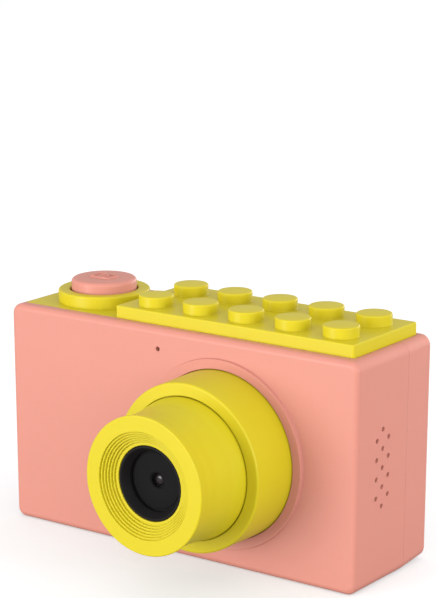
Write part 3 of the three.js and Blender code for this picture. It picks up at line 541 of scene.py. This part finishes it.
def dress(obj, cad_node, sharp=35.0):
    """Gives a piece its CAD node's body, slot and look, and hides that node."""
    obj.name = cad_node + "_detail"
    obj.data.name = obj.name
    slot = SLOT_OF[cad_node]
    obj.data.materials.clear()
    obj.data.materials.append(LOOKS[slot])
    for polygon in obj.data.polygons:
        polygon.material_index = 0
        polygon.use_smooth = True
    obj.data.set_sharp_from_angle(angle=math.radians(sharp))
    normals = obj.modifiers.new("normals", "WEIGHTED_NORMAL")
    normals.keep_sharp = True
    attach(obj, BODY_OF[cad_node])
    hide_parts(cad_node)
    return obj


# ---------------------------------------------------------------- case


def right_lean(z):
    """How far the right wall stands out at the height z."""
    return RIGHT_LEAN * (z / HEIGHT - 0.5)


def case_ring(y, inset, top_inset=None):
    """The outline of the case at the depth y, drawn in by inset from its faces."""
    back = max(0.0, (y - SPLIT_FRONT) / (BACK_Y - SPLIT_FRONT))
    side = HALF_WIDTH - inset - SIDE_DRAFT * back
    low = inset + BOTTOM_DRAFT * back
    high = HEIGHT - (inset if top_inset is None else top_inset)
    top = max(TOP_CORNER - inset, SMALLEST_CORNER)
    bottom = max(BOTTOM_CORNER - inset, SMALLEST_CORNER)
    corners = [(-side, high, top), (side, high, top), (side, low, bottom), (-side, low, bottom)]
    ring = []
    for u, v in rounded(corners, 10):
        ring.append((u + right_lean(v) if u > 0 else u, y, v))
    return ring


def edge_steps():
    """Pairs of depth and inset that round the outer edge over."""
    out = []
    for a in quarter(9):
        out.append((EDGE_RADIUS * (1 - math.cos(a)), EDGE_RADIUS * (1 - math.sin(a))))
    return out


def cavity():
    """The room inside the case, for cutting out of both shells."""
    ends = (INNER_FRONT_Y, SPLIT_FRONT + 0.03, INNER_BACK_Y)
    return loft([case_ring(y, WALL, TOP_WALL) for y in ends])


def top_openings():
    """Cutters for the plate's recess and for the button's skirt below it."""
    gap = 0.1
    seat = rectangle((PLATE_X[0] - gap, PLATE_X[1] + gap), (PLATE_Y[0] - gap, PLATE_Y[1] + gap),
                     PLATE_CORNER + gap)
    return [
        opening("z", seat, PLATE_BOTTOM - 0.05, HEIGHT, LIP),
        rod("z", BUTTON.x, BUTTON.y, SKIRT_HOLE_RADIUS, HEIGHT - TOP_WALL - 2, HEIGHT + 1, 96),
    ]


def lens_flange():
    """The low ring round the lens: a crisp rim, and a face that dips a little towards the tube."""
    rim = FRONT_Y - FLANGE_HEIGHT
    foot = FRONT_Y + 0.004
    root = FRONT_Y + 1
    root_radius = FLANGE_RADIUS + 0.5
    profile = rounded([
        (0, rim + FLANGE_DIP),
        (FLANGE_FLOOR_RADIUS, rim + FLANGE_DIP, 0.1),
        (FLANGE_RADIUS, rim, 0.12),
        (FLANGE_RADIUS + 0.1, foot, 0.12),
        (root_radius, foot),
        (root_radius, root),
        (0, root),
    ], 6)
    return revolve("y", profile, (LENS.x, LENS.z))


def lens_seat():
    """The bore in the front wall that the outer tube sits in."""
    bore = circle(LENS.x, LENS.z, BASE_BACK_RADIUS + 0.12, ROUND)
    return opening("y", bore, SEAT_Y + 0.05, FRONT_Y - FLANGE_HEIGHT + FLANGE_DIP, FINE_LIP)


def speaker_holes():
    radius, column_pitch, row_pitch = 0.48, 2.05, 3.8
    tools = []
    for column, count in ((-1, 4), (0, 5), (1, 4)):
        for i in range(count):
            y = SPEAKER.y + column * column_pitch
            z = SPEAKER.z + (i - (count - 1) / 2) * row_pitch
            hole = circle(y, z, radius, SMALL_ROUND)
            surface = HALF_WIDTH + right_lean(z)
            tools.append(opening("x", hole, INNER_SIDE - 1, surface, FINE_LIP))
    return tools


def strap_pocket():
    """The notch at the foot of the left wall, with the strap post left standing in it."""
    edge = -HALF_WIDTH - 1
    depth = -37.4
    notch = (0.9, 3.8)
    top = 6.2
    mouth = box((edge, depth), notch, (-1, top))
    room = box((-INNER_SIDE, depth), (-2.8, notch[0] + 1), (1.2, top))
    hollow = join(mouth, room)
    post = rod("x", 0.5, 3.5, 2.3, -INNER_SIDE - 0.6, -37, 48)
    return cut(hollow, post)


def front_case():
    rings = [case_ring(FRONT_Y + depth, inset) for depth, inset in edge_steps()]
    rings.append(case_ring(SPLIT_FRONT - SEAM_EDGE, 0))
    rings.append(case_ring(SPLIT_FRONT, SEAM_EDGE))
    body = loft(rings)
    cut(body, cavity())
    root = INNER_FRONT_Y - 0.3
    post_end = SPLIT_FRONT - 0.07
    lens_pad = rod("y", LENS.x, LENS.z, 18, root, INNER_FRONT_Y + 1.2, 96)
    speaker_x, speaker_y = (35.5, HALF_WIDTH - 0.6), (-9.6, 1.4)
    speaker_walls = [box(speaker_x, speaker_y, z) for z in ((12, 13), (33.4, 34.4))]
    battery_y = (root, -5)
    battery_walls = [box((-8.4, -7.4), battery_y, (8, 32)), box((-31.5, -8), battery_y, (7, 7.9))]
    strap_wall = box((-INNER_SIDE - 0.3, -36.4), (-4.2, SPLIT_FRONT), (1, 8))
    join(
        body,
        *[rod("y", s.x, s.z, FRONT_POST_RADIUS, root, post_end, PEG_ROUND) for s in COVER_SCREWS],
        lens_pad,
        lens_flange(),
        *speaker_walls,
        *battery_walls,
        strap_wall,
    )
    side_inside = -INNER_SIDE + 0.5
    slot_gap = 0.75
    slot = rectangle((CARD_LOW.y - 0.2, SPLIT_FRONT + 1),
                     (CARD_LOW.z - slot_gap, CARD_HIGH.z + slot_gap), 0.25)
    pinhole = circle(3.7, 34.85, 0.45, SMALL_ROUND)
    sound_hole = circle(MIC.x, MIC.z + 1.3, 0.46, PEG_ROUND)
    wall_end = FRONT_Y + 5
    wire_hole_radius = 8.2
    cut(
        body,
        *top_openings(),
        lens_seat(),
        rod("y", LENS.x, LENS.z, wire_hole_radius, FRONT_Y, wall_end, 64),
        *[rod("y", s.x, s.z, SCREW_CLEARANCE_RADIUS, FRONT_Y, wall_end, SMALL_ROUND)
          for s in LENS_SCREWS],
        *speaker_holes(),
        *[rod("y", s.x, s.z, COVER_PILOT_RADIUS, -3, SPLIT_FRONT + 1, SMALL_ROUND)
          for s in COVER_SCREWS],
        *[rod("z", s.x, s.y, SCREW_CLEARANCE_RADIUS, HEIGHT - TOP_WALL - 1, HEIGHT, SMALL_ROUND)
          for s in PLATE_SCREWS],
        strap_pocket(),
        opening("x", slot, side_inside, -HALF_WIDTH, LIP),
        opening("x", pinhole, side_inside, -HALF_WIDTH, FINE_LIP),
        opening("y", sound_hole, INNER_FRONT_Y + 0.5, FRONT_Y, 0.14),
    )
    return dress(body, "front_case")


def tongues():
    """Lips of the rear shell that reach into the front one, each a root and a thinner tip."""
    root = (SPLIT_REAR, SPLIT_REAR + 2)
    tip = (SPLIT_REAR - 1.53, SPLIT_REAR + 0.3)
    gap = 0.12
    foot_x, side_z, roof_x = (-28, 30), (12, 34), (-12, 32)
    foot_top, side_left, roof_low = 2.9, 38.6, 41.7
    roof = HEIGHT - TOP_WALL
    return [
        box(foot_x, root, (1.5, foot_top)),
        box(foot_x, tip, (WALL + gap, foot_top)),
        box((side_left, HALF_WIDTH - 0.6), root, side_z),
        box((side_left, INNER_SIDE - RIGHT_LEAN / 2 - gap), tip, side_z),
        box(roof_x, root, (roof_low, roof + 0.4)),
        box(roof_x, tip, (roof_low, roof - gap)),
    ]


def key_size(name):
    """Width and height of a key's cap, without its flange."""
    low, high = span("key_" + name)
    return high.x - low.x - 2 * KEY_FLANGE, high.z - low.z - 2 * KEY_FLANGE


def key_outline(name, growth=0.0, steps=8):
    centre = middle("key_" + name)
    width, height = key_size(name)
    largest = width if abs(width - height) < 0.01 else 1.9
    radius = min(largest, min(width, height) / 2 - 0.05) + growth
    return around(centre.x, centre.z, width + 2 * growth, height + 2 * growth, radius, steps)


def rear_case():
    rings = [case_ring(SPLIT_REAR, SEAM_EDGE), case_ring(SPLIT_REAR + SEAM_EDGE, 0)]
    rings += [case_ring(BACK_Y - depth, inset) for depth, inset in reversed(edge_steps())]
    body = loft(rings)
    cut(body, cavity())
    root = INNER_BACK_Y + 0.3
    join(
        body,
        *[rod("y", s.x, s.z, REAR_POST_RADIUS, SPLIT_REAR, root, 40) for s in COVER_SCREWS],
        *[rod("y", s.x, s.z, BOARD_POST_RADIUS, BOARD_POST_FOOT, root, PEG_ROUND)
          for s in BOARD_SCREWS],
        *tongues(),
    )
    view = rectangle((WINDOW_LOW.x + 2.5, WINDOW_HIGH.x - 2.5),
                     (WINDOW_LOW.z + 2.4, WINDOW_HIGH.z - 2.4), 0.5)
    recess = rectangle((WINDOW_LOW.x - 0.1, WINDOW_HIGH.x + 0.1),
                       (WINDOW_LOW.z - 0.1, WINDOW_HIGH.z + 0.1), 1.5)
    port = around(USB.y, USB.z, 3.2, 8.8, 1.59, 10)
    inside = INNER_BACK_Y - 1
    cut(
        body,
        *top_openings(),
        *[opening("y", circle(s.x, s.z, SCREW_HEAD_HOLE_RADIUS, 48), BACK_Y - 1.5, BACK_Y,
                  WIDE_LIP) for s in COVER_SCREWS],
        *[rod("y", s.x, s.z, SCREW_CLEARANCE_RADIUS, SPLIT_FRONT - 1, BACK_Y, SMALL_ROUND)
          for s in COVER_SCREWS],
        *[rod("y", s.x, s.z, BOARD_PILOT_RADIUS, 5.2, INNER_BACK_Y - 0.5, SMALL_ROUND)
          for s in BOARD_SCREWS],
        *[opening("y", key_outline(n, KEY_GAP), inside, BACK_Y, WIDE_LIP) for n in KEY_NAMES],
        prism("y", view, inside, BACK_Y + 1),
        opening("y", recess, BACK_Y - 1.1, BACK_Y, FINE_LIP),
        opening("x", port, -INNER_SIDE + 1, -HALF_WIDTH, LIP),
    )
    return dress(body, "rear_case")


# ---------------------------------------------------------------- top plate and shutter button


def top_plate():
    base = rectangle(PLATE_X, PLATE_Y, PLATE_CORNER)
    body = soft_prism("z", base, PLATE_BOTTOM, HEIGHT, 0, LIP)
    raised = rectangle((BLOCK_LEFT, PLATE_X[1]), PLATE_Y, PLATE_CORNER)
    join(body, soft_prism("z", raised, PLATE_BOTTOM + 0.5, BLOCK_TOP, 0, 0.28))
    below = PLATE_BOTTOM - 1
    cut(
        body,
        box((BLOCK_LEFT + BLOCK_SKIN, PLATE_X[1] - BLOCK_SKIN),
            (PLATE_Y[0] + BLOCK_SKIN, PLATE_Y[1] - BLOCK_SKIN),
            (below, BLOCK_TOP - BLOCK_SKIN)),
        rod("z", BUTTON.x, BUTTON.y, WELL_RADIUS, below, HEIGHT + 1, WELL_ROUND),
    )
    root = BLOCK_TOP - 0.01
    root_radius = STUD_RADIUS + 0.3
    stud = rounded([
        (0, STUD_TOP),
        (STUD_RADIUS, STUD_TOP, 0.32),
        (STUD_RADIUS, root, 0.12),
        (root_radius, root),
        (root_radius, BLOCK_TOP - 0.5),
        (0, BLOCK_TOP - 0.5),
    ], 5, closed=False)
    for column in range(STUD_COLUMNS):
        for y in STUD_ROWS:
            join(body, revolve("z", stud, (STUD_FIRST + column * STUD_PITCH, y), 72))
    boss_top = BLOCK_TOP - 1
    join(body, *[rod("z", s.x, s.y, PLATE_POST_RADIUS, PLATE_BOTTOM, boss_top, PEG_ROUND)
                 for s in PLATE_SCREWS])
    collar_foot = PLATE_BOTTOM + 0.3
    collar = rounded([
        (COLLAR_RADIUS, collar_foot),
        (COLLAR_RADIUS, COLLAR_TOP, 0.42),
        (WELL_RADIUS, COLLAR_TOP, 0.3),
        (WELL_RADIUS, collar_foot),
    ], 6)
    skirt_top = PLATE_BOTTOM + 0.4
    skirt = [
        (SKIRT_OUTER_RADIUS, PLATE_LOW.z),
        (SKIRT_OUTER_RADIUS, skirt_top),
        (SKIRT_INNER_RADIUS, skirt_top),
        (SKIRT_INNER_RADIUS, PLATE_LOW.z),
    ]
    centre = (BUTTON.x, BUTTON.y)
    join(body, revolve("z", collar, centre, WELL_ROUND), revolve("z", skirt, centre, WELL_ROUND))
    cut(
        body,
        rod("z", *centre, SKIRT_INNER_RADIUS, PLATE_LOW.z - 1, SKIRT_ROOF, WELL_ROUND),
        *[rod("z", s.x, s.y, PLATE_PILOT_RADIUS, below, boss_top, SMALL_ROUND)
          for s in PLATE_SCREWS],
    )
    return dress(body, "top_plate")


def button_crown(r):
    """Height of the slightly domed button at the radius r."""
    dome = 0.15
    return BUTTON_TOP - dome * (r / BUTTON_RADIUS) ** 2


def pictogram():
    """A plain camera outline that stands up from the button: a frame, a hump and a ring."""
    low, high = BUTTON_TOP - 0.9, BUTTON_HIGH.z
    soft = 0.1
    ring_outer, ring_inner = 1.15, 0.65
    x, y = BUTTON.x, BUTTON.y
    body = soft_prism("z", around(x, y, 5.4, 3.8, 0.8), low, high, 0, soft)
    cut(body, opening("z", around(x, y, 4.4, 2.8, 0.35), low - 1, high, soft))
    hump = soft_prism("z", around(x, y + 2.1, 2.2, 0.8, 0.3), low, high - 0.004, 0, soft)
    profile = rounded([
        (ring_outer, low),
        (ring_outer, high, soft),
        (ring_inner, high, soft),
        (ring_inner, low),
    ], 4)
    return join(body, hump, revolve("z", profile, (x, y), 48))


def shutter_button():
    edge_start = 5.6
    flange_radius, flange_low = 7.5, 45.35
    hollow_radius, hollow_top = 5.9, 48.5
    stem_radius, stem_top = 1.8, 48.8
    crown = [(r, button_crown(r)) for r in (0, 1, 2, 3, 4, 5, edge_start)]
    edge = rounded([
        crown[-1],
        (BUTTON_RADIUS, button_crown(BUTTON_RADIUS), 0.8),
        (BUTTON_RADIUS, BUTTON_FLANGE_TOP),
    ], 10, closed=False)
    profile = crown + edge[1:] + [
        (flange_radius, BUTTON_FLANGE_TOP),
        (flange_radius, flange_low),
        (hollow_radius, flange_low),
        (hollow_radius, hollow_top),
        (stem_radius, stem_top),
        (stem_radius, BUTTON_LOW.z),
        (0, BUTTON_LOW.z),
    ]
    body = revolve("z", profile, (BUTTON.x, BUTTON.y), WELL_ROUND)
    return dress(join(body, pictogram()), "shutter_button")


# ---------------------------------------------------------------- lens
# Profiles here are points of (radius, depth) or (radius, depth, rounding).


def lens_axis(profile, segments=ROUND):
    """A profile turned about the lens."""
    return revolve("y", profile, (LENS.x, LENS.z), segments)


def lens_base():
    bore = BARREL_RADIUS + 0.15
    web_radius = 8.4
    web_front, web_back = BARREL_BACK + 0.05, BARREL_BACK + 1.35
    inner = BASE_RADIUS - 1.66
    profile = rounded([
        (BASE_BACK_RADIUS, SEAT_Y),
        (BASE_RADIUS, BASE_FRONT, 0.42),
        (bore, BASE_FRONT, 0.12),
        (bore, web_front),
        (web_radius, web_front),
        (web_radius, web_back),
        (inner, web_back),
        (inner, SEAT_Y),
    ], 6)
    body = lens_axis(profile)
    join(body, *[rod("y", s.x, s.z, 2.6, BARREL_BACK + 1, SEAT_Y, PEG_ROUND)
                 for s in LENS_SCREWS])
    cut(body, *[rod("y", s.x, s.z, 1.15, BASE_FRONT - 1, SEAT_Y + 1, SMALL_ROUND)
                for s in LENS_SCREWS])
    return dress(body, "lens_base")


def cone_steps():
    """Rings from the rim down to the dark disc, each with a narrow groove at its foot."""
    corners = []
    tread = (CONE_OUTER_RADIUS - CONE_INNER_RADIUS - 0.3) / CONE_RINGS
    drop = CONE_DEPTH / CONE_RINGS
    groove = 0.1
    for i in range(CONE_RINGS):
        r = CONE_OUTER_RADIUS - tread * i
        y = RIM_Y + drop * i
        corners.append((r, y, 0.06))
        corners.append((r - 0.02, y + drop + groove))
        corners.append((r - 0.16, y + drop + groove))
        corners.append((r - 0.2, y + drop, 0.05))
    corners.append((CONE_INNER_RADIUS, RIM_Y + CONE_DEPTH, 0.06))
    return corners


def lens_barrel():
    sleeve_inner, sleeve_outer, sleeve_end = 8.8, 10, -31
    profile = rounded([
        (BARREL_RADIUS - 0.1, BARREL_BACK),
        (BARREL_RADIUS, BASE_FRONT - 0.3, 2.0),
        (13.45, -28.4, 12),
        (13.05, -32.6, 12),
        (13.18, -35.6, 8),
        (13.5, RIM_Y, 0.28),
        *cone_steps(),
        (CONE_INNER_RADIUS, BARREL_FLOOR_Y),
        (sleeve_inner, BARREL_FLOOR_Y),
        (sleeve_inner, sleeve_end),
        (sleeve_outer, sleeve_end),
        (sleeve_outer, BARREL_FLOOR_Y),
        (11.6, BARREL_FLOOR_Y),
        (12.1, -30),
        (12.3, BARREL_BACK),
    ], 5)
    body = lens_axis(profile)
    join(body, *[rod("y", s.x, s.z, 2.2, -29, BARREL_BACK, PEG_ROUND) for s in LENS_SCREWS])
    cut(body, *[rod("y", s.x, s.z, 1.05, -28, BARREL_BACK + 1, SMALL_ROUND)
                for s in LENS_SCREWS])
    return dress(body, "lens_barrel")


def lens_hood():
    neck, throat, foot = 7.2, 5.85, 8.6
    shoulder, back = -34.85, -33.9
    profile = rounded([
        (neck, -36, 0.08),
        (6.8, -36.05, 0.12),
        (throat, -34.4, 0.4),
        (throat, back),
        (foot, back),
        (foot, shoulder),
        (neck, shoulder),
    ], 5)
    return dress(lens_axis(profile), "lens_hood")


def lens_iris():
    front, back = -33.85, -33.05
    hole, rim = 1.35, 6.4
    step = front + 0.12
    profile = rounded([
        (hole, back),
        (hole, front + 0.25, 0.1),
        (1.75, front, 0.15),
        (5.35, front, 0.1),
        (5.45, step, 0.05),
        (rim, step),
        (rim, back),
    ], 4)
    return dress(lens_axis(profile), "lens_iris")


def module_lens():
    radius, bulge, back = 1.2, 0.6, -31.6
    steps = 9
    dome = []
    for k in range(steps):
        angle = math.pi / 2 * k / steps
        dome.append((radius * math.sin(angle), -32.65 - bulge * math.cos(angle)))
    profile = dome + [(radius, -32.6), (radius, back), (0, back)]
    return dress(lens_axis(profile, 64), "module_lens")


# ---------------------------------------------------------------- back: keys, window, screws

SIGN = moulded("key_sign", (0.62, 0.36, 0.3), 0.5, 0.05, 0.2, 0.15)
SIGN_Y = BACK_Y + 0.5
SCREEN = moulded("screen_layer", (0.1, 0.115, 0.135), 0.16, 0.08, 0.02, 0.5, coat=0.8)


def paint_faces(piece, y, look):
    """Gives the piece's faces that lie flat at the depth y their own look."""
    piece.data.materials.append(look)
    for polygon in piece.data.polygons:
        if abs(polygon.center.y / MM - y) < 0.01 and abs(polygon.normal.y) > 0.9:
            polygon.material_index = 1


def key_symbol(name):
    """The cutter for the sign sunk into a key's face: a ring, a power sign or an arrow."""
    centre = middle("key_" + name)
    x, z = centre.x, centre.z
    low, high = SIGN_Y, BACK_Y + 2
    if name == "ok":
        outer, inner = 1.4, 1.0
        return revolve("y", [(inner, low), (inner, high), (outer, high), (outer, low)], (x, z), 64)
    if name == "power":
        outer, inner = 1.2, 0.85
        first, sweep, steps = 130, 280, 24
        angles = [math.radians(first + sweep * k / steps) for k in range(steps + 1)]
        arc = [(x + outer * math.cos(a), z + outer * math.sin(a)) for a in angles]
        arc += [(x + inner * math.cos(a), z + inner * math.sin(a)) for a in reversed(angles)]
        ring = prism("y", lambda growth: arc, low, high)
        return join(ring, prism("y", around(x, z + inner, 0.36, 1.2, 0.1), low, high))
    middle_key = middle("key_ok")
    away = Vector((x - middle_key.x, z - middle_key.z))
    if name == "play":
        away = Vector((-1, 0))
    away.normalize()
    side = Vector((-away.y, away.x))
    here = Vector((x, z))
    tip = here + away * 0.95
    left = here - away * 0.7 + side * 1.1
    right = here - away * 0.7 - side * 1.1
    soft = 0.15
    arrow = rounded([(*tip, soft), (*left, soft), (*right, soft)], 4)
    return prism("y", lambda growth: arrow, low, high)


def key_cap(name):
    """A rounded cap with its sign, a flange behind the wall and a pip that meets the switch."""
    centre = middle("key_" + name)
    outline = key_outline(name)
    top = span("key_" + name)[1].y
    body = soft_prism("y", outline, INNER_BACK_Y - 0.4, top, 0, 0.4, steps=6)
    flange = key_outline(name, KEY_FLANGE)
    join(body, prism("y", flange, KEY_FLANGE_Y, INNER_BACK_Y - 0.1),
         rod("y", centre.x, centre.z, 1.2, KEY_PIP_Y, 11, SMALL_ROUND))
    cut(body, key_symbol(name))
    made = dress(body, "key_" + name)
    paint_faces(made, SIGN_Y, SIGN)
    return made


def lcd_window():
    """A dark pane whose middle, where the display shows, is a hair lower than its printed rim."""
    rim = 2.6
    level = WINDOW_HIGH.y - 0.05
    pane = rectangle((WINDOW_LOW.x, WINDOW_HIGH.x), (WINDOW_LOW.z, WINDOW_HIGH.z), 1.5, 8)
    display = rectangle((WINDOW_LOW.x + rim, WINDOW_HIGH.x - rim),
                        (WINDOW_LOW.z + rim, WINDOW_HIGH.z - rim), 0.4)
    body = soft_prism("y", pane, WINDOW_LOW.y, WINDOW_HIGH.y, 0, 0.15)
    made = dress(cut(body, prism("y", display, level, WINDOW_HIGH.y + 1)), "lcd_window")
    paint_faces(made, level, SCREEN)
    return made


def screw_detail(cad_node, axis, outward, head_radius, shank_radius, head_height):
    """A pan head with a cross recess, a plain neck and a threaded shank with a point."""
    low, high = span(cad_node)
    centre = (low + high) / 2
    u, v = (centre.x, centre.z) if axis == "y" else (centre.x, centre.y)
    start, end = (low.y, high.y) if axis == "y" else (low.z, high.z)
    head, tip = (end, start) if outward > 0 else (start, end)
    neck = head - outward * head_height
    crest, root = shank_radius, shank_radius - 0.16
    thread_pitch, last_turn = 0.62, 1.6
    profile = rounded([
        (0, head),
        (head_radius, head, 0.35),
        (head_radius, neck, 0.05),
        (root, neck),
    ], 5, closed=False)
    position = neck - outward * 1.0
    while abs(position - tip) > last_turn:
        profile.append((root, position))
        profile.append((crest, position - outward * 0.22))
        profile.append((crest, position - outward * 0.3))
        profile.append((root, position - outward * 0.52))
        position -= outward * thread_pitch
    profile.append((root, tip + outward * 0.9))
    profile.append((0, tip))
    body = revolve(axis, profile, (u, v), 40)
    slot_length, slot_width = head_radius * 1.5, 0.5
    floor = head - outward * 0.55
    across = around(u, v, slot_length, slot_width, 0.2, 4)
    upright = around(u, v, slot_width, slot_length, 0.2, 4)
    cross = join(prism(axis, across, floor, head + outward),
                 prism(axis, upright, floor, head + outward * 0.9))
    return dress(cut(body, cross), cad_node)


def shutter_spring():
    low, high = span("shutter_spring")
    wire, turns = 0.3, 4
    radius = (high.x - low.x) / 2 - wire
    points = []
    steps = turns * 24
    for k in range(steps + 1):
        angle = math.tau * turns * k / steps
        share = k / steps
        x = BUTTON.x + radius * math.cos(angle)
        y = BUTTON.y + radius * math.sin(angle)
        points.append((x, y, low.z + wire + (high.z - low.z - 2 * wire) * share))
    piece = dress(tube(points, wire, 12), "shutter_spring", 60)
    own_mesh(piece)
    return piece


def memory_card():
    """The card with one cut corner, and a ridge for the fingernail on its outer end."""
    face, back = 3.4, CARD_HIGH.y
    notch = 1.6
    half_size = 7
    centre = Vector(((CARD_LOW.x + CARD_HIGH.x) / 2, (CARD_LOW.z + CARD_HIGH.z) / 2))
    outline = rounded([
        (CARD_LOW.x, CARD_LOW.z, 0.5),
        (CARD_HIGH.x, CARD_LOW.z, 0.4),
        (CARD_HIGH.x, CARD_HIGH.z - notch, 0.3),
        (CARD_HIGH.x - notch, CARD_HIGH.z, 0.3),
        (CARD_LOW.x, CARD_HIGH.z, 0.5),
    ], 5)

    def grown(growth=0):
        share = 1 + growth / half_size
        return [tuple(centre + (Vector(point) - centre) * share) for point in outline]

    body = soft_prism("y", grown, face, back, 0.08, 0.08)
    ridge = around(CARD_LOW.x + 0.35, (CARD_LOW.z + CARD_HIGH.z) / 2, 0.7, 8.6, 0.3)
    join(body, soft_prism("y", ridge, face + 0.2, CARD_LOW.y, 0, 0.1))
    return dress(body, "memory_card")


def usb_port():
    """A drawn metal shell with the contact tongue inside its mouth."""
    soft = 0.08
    shell = around(USB.y, USB.z, 3.14, 8.94, 1.56, 10)
    mouth = around(USB.y, USB.z, 2.5, 8.3, 1.24, 10)
    body = soft_prism("x", shell, USB_LOW.x, USB_HIGH.x, soft, 0)
    cut(body, opening("x", mouth, USB_LOW.x + 5, USB_LOW.x, soft))
    tongue = around(USB.y, USB.z, 0.7, 6.4, 0.3, 4)
    join(body, soft_prism("x", tongue, USB_LOW.x + 0.6, USB_LOW.x + 5.2, 0.1, 0))
    return dress(body, "usb_port")


front_case()
rear_case()
top_plate()
shutter_button()
lens_base()
lens_barrel()
lens_hood()
lens_iris()
module_lens()
for key in KEY_NAMES:
    key_cap(key)
lcd_window()
for names, *shape in SCREW_KINDS:
    for name in names:
        screw_detail(name, *shape)
shutter_spring()
memory_card()
usb_port()

# ---------------------------------------------------------------- CAD pieces kept as they are

for name, obj in frame["nodes"].items():
    if obj.hide_render:
        continue
    obj.data.materials.clear()
    obj.data.materials.append(LOOKS[SLOT_OF[name]])
    edges = obj.modifiers.new("edges", "BEVEL")
    edges.width = 0.06 * MM
    edges.segments = 2
    edges.limit_method = "ANGLE"
    edges.angle_limit = math.radians(40)
    edges.use_clamp_overlap = True

# ---------------------------------------------------------------- stage, light, camera
# Places and sizes here are metres, angles are degrees, and lens and sensor are millimetres.

FLOOR_HALF_WIDTH = 15
FLOOR_GLOW = 0.38
FLOOR_BOUNCE = 0.45
WORLD_STRENGTH = 0.58
AIM = (0, 0, 0.025)
# Each lamp: name, place, size, power in watts.
LAMPS = (
    ("front", (-0.42, -1.05, 0.1), 0.6, 6.5),
    ("near_camera", (0.7, -0.95, 0.32), 0.6, 2.1),
    ("right", (1.3, -0.1, 0.35), 0.7, 5.4),
    ("behind", (0.15, 1.2, 0.1), 0.8, 4.5),
)
CAMERA_PLACE = (0.253908, -0.343668, 0.150043)
CAMERA_ANGLES = (76.752, 0.392, 36.257)
FOCAL_LENGTH = 133.448
SENSOR_WIDTH = 36


def floor_paper():
    """Pale paper that looks bright itself but throws little light back up under the object."""
    paper = moulded("floor_paper", (0.985, 0.985, 0.985), 0.8, 0.004, 0.05, 1.0, specular=0.1)
    tree = paper.node_tree
    shader = tree.nodes["Principled BSDF"]
    shader.inputs["Emission Color"].default_value = (1, 1, 1, 1)
    shader.inputs["Emission Strength"].default_value = FLOOR_GLOW
    dark = node(tree, "ShaderNodeBsdfDiffuse", Color=(FLOOR_BOUNCE,) * 3 + (1,))
    path = node(tree, "ShaderNodeLightPath")
    mix = node(tree, "ShaderNodeMixShader")
    tree.links.new(path.outputs["Is Camera Ray"], mix.inputs[0])
    tree.links.new(dark.outputs[0], mix.inputs[1])
    tree.links.new(shader.outputs[0], mix.inputs[2])
    tree.links.new(mix.outputs[0], tree.nodes["Material Output"].inputs["Surface"])
    return paper


def stage():
    """A floor that casts no shadow, so that low lamps still reach the object."""
    size = FLOOR_HALF_WIDTH / MM
    corners = [(-size, -size, 0), (size, -size, 0), (size, size, 0), (-size, size, 0)]
    floor = new_object("floor", corners, [(0, 1, 2, 3)])
    floor.data.materials.append(floor_paper())
    floor.visible_shadow = False


def area_light(name, location, size, power):
    data = bpy.data.lights.new(name, "AREA")
    data.shape = "DISK"
    data.size = size
    data.energy = power
    obj = bpy.data.objects.new(name, data)
    obj.location = location
    obj.rotation_euler = (Vector(AIM) - Vector(location)).to_track_quat("-Z", "Y").to_euler()
    bpy.context.scene.collection.objects.link(obj)


stage()
world = bpy.data.worlds.new("studio")
world.use_nodes = True
sky = world.node_tree.nodes["Background"]
sky.inputs["Color"].default_value = (1, 1, 1, 1)
sky.inputs["Strength"].default_value = WORLD_STRENGTH
bpy.context.scene.world = world
for lamp in LAMPS:
    area_light(*lamp)
bpy.context.scene.view_settings.view_transform = "Standard"

camera_data = bpy.data.cameras.new("camera")
camera_data.lens = FOCAL_LENGTH
camera_data.sensor_width = SENSOR_WIDTH
camera_data.clip_start = 0.01
camera_data.clip_end = 20
camera = bpy.data.objects.new("camera", camera_data)
camera.location = CAMERA_PLACE
camera.rotation_euler = tuple(math.radians(angle) for angle in CAMERA_ANGLES)
bpy.context.scene.collection.objects.link(camera)
bpy.context.scene.camera = camera
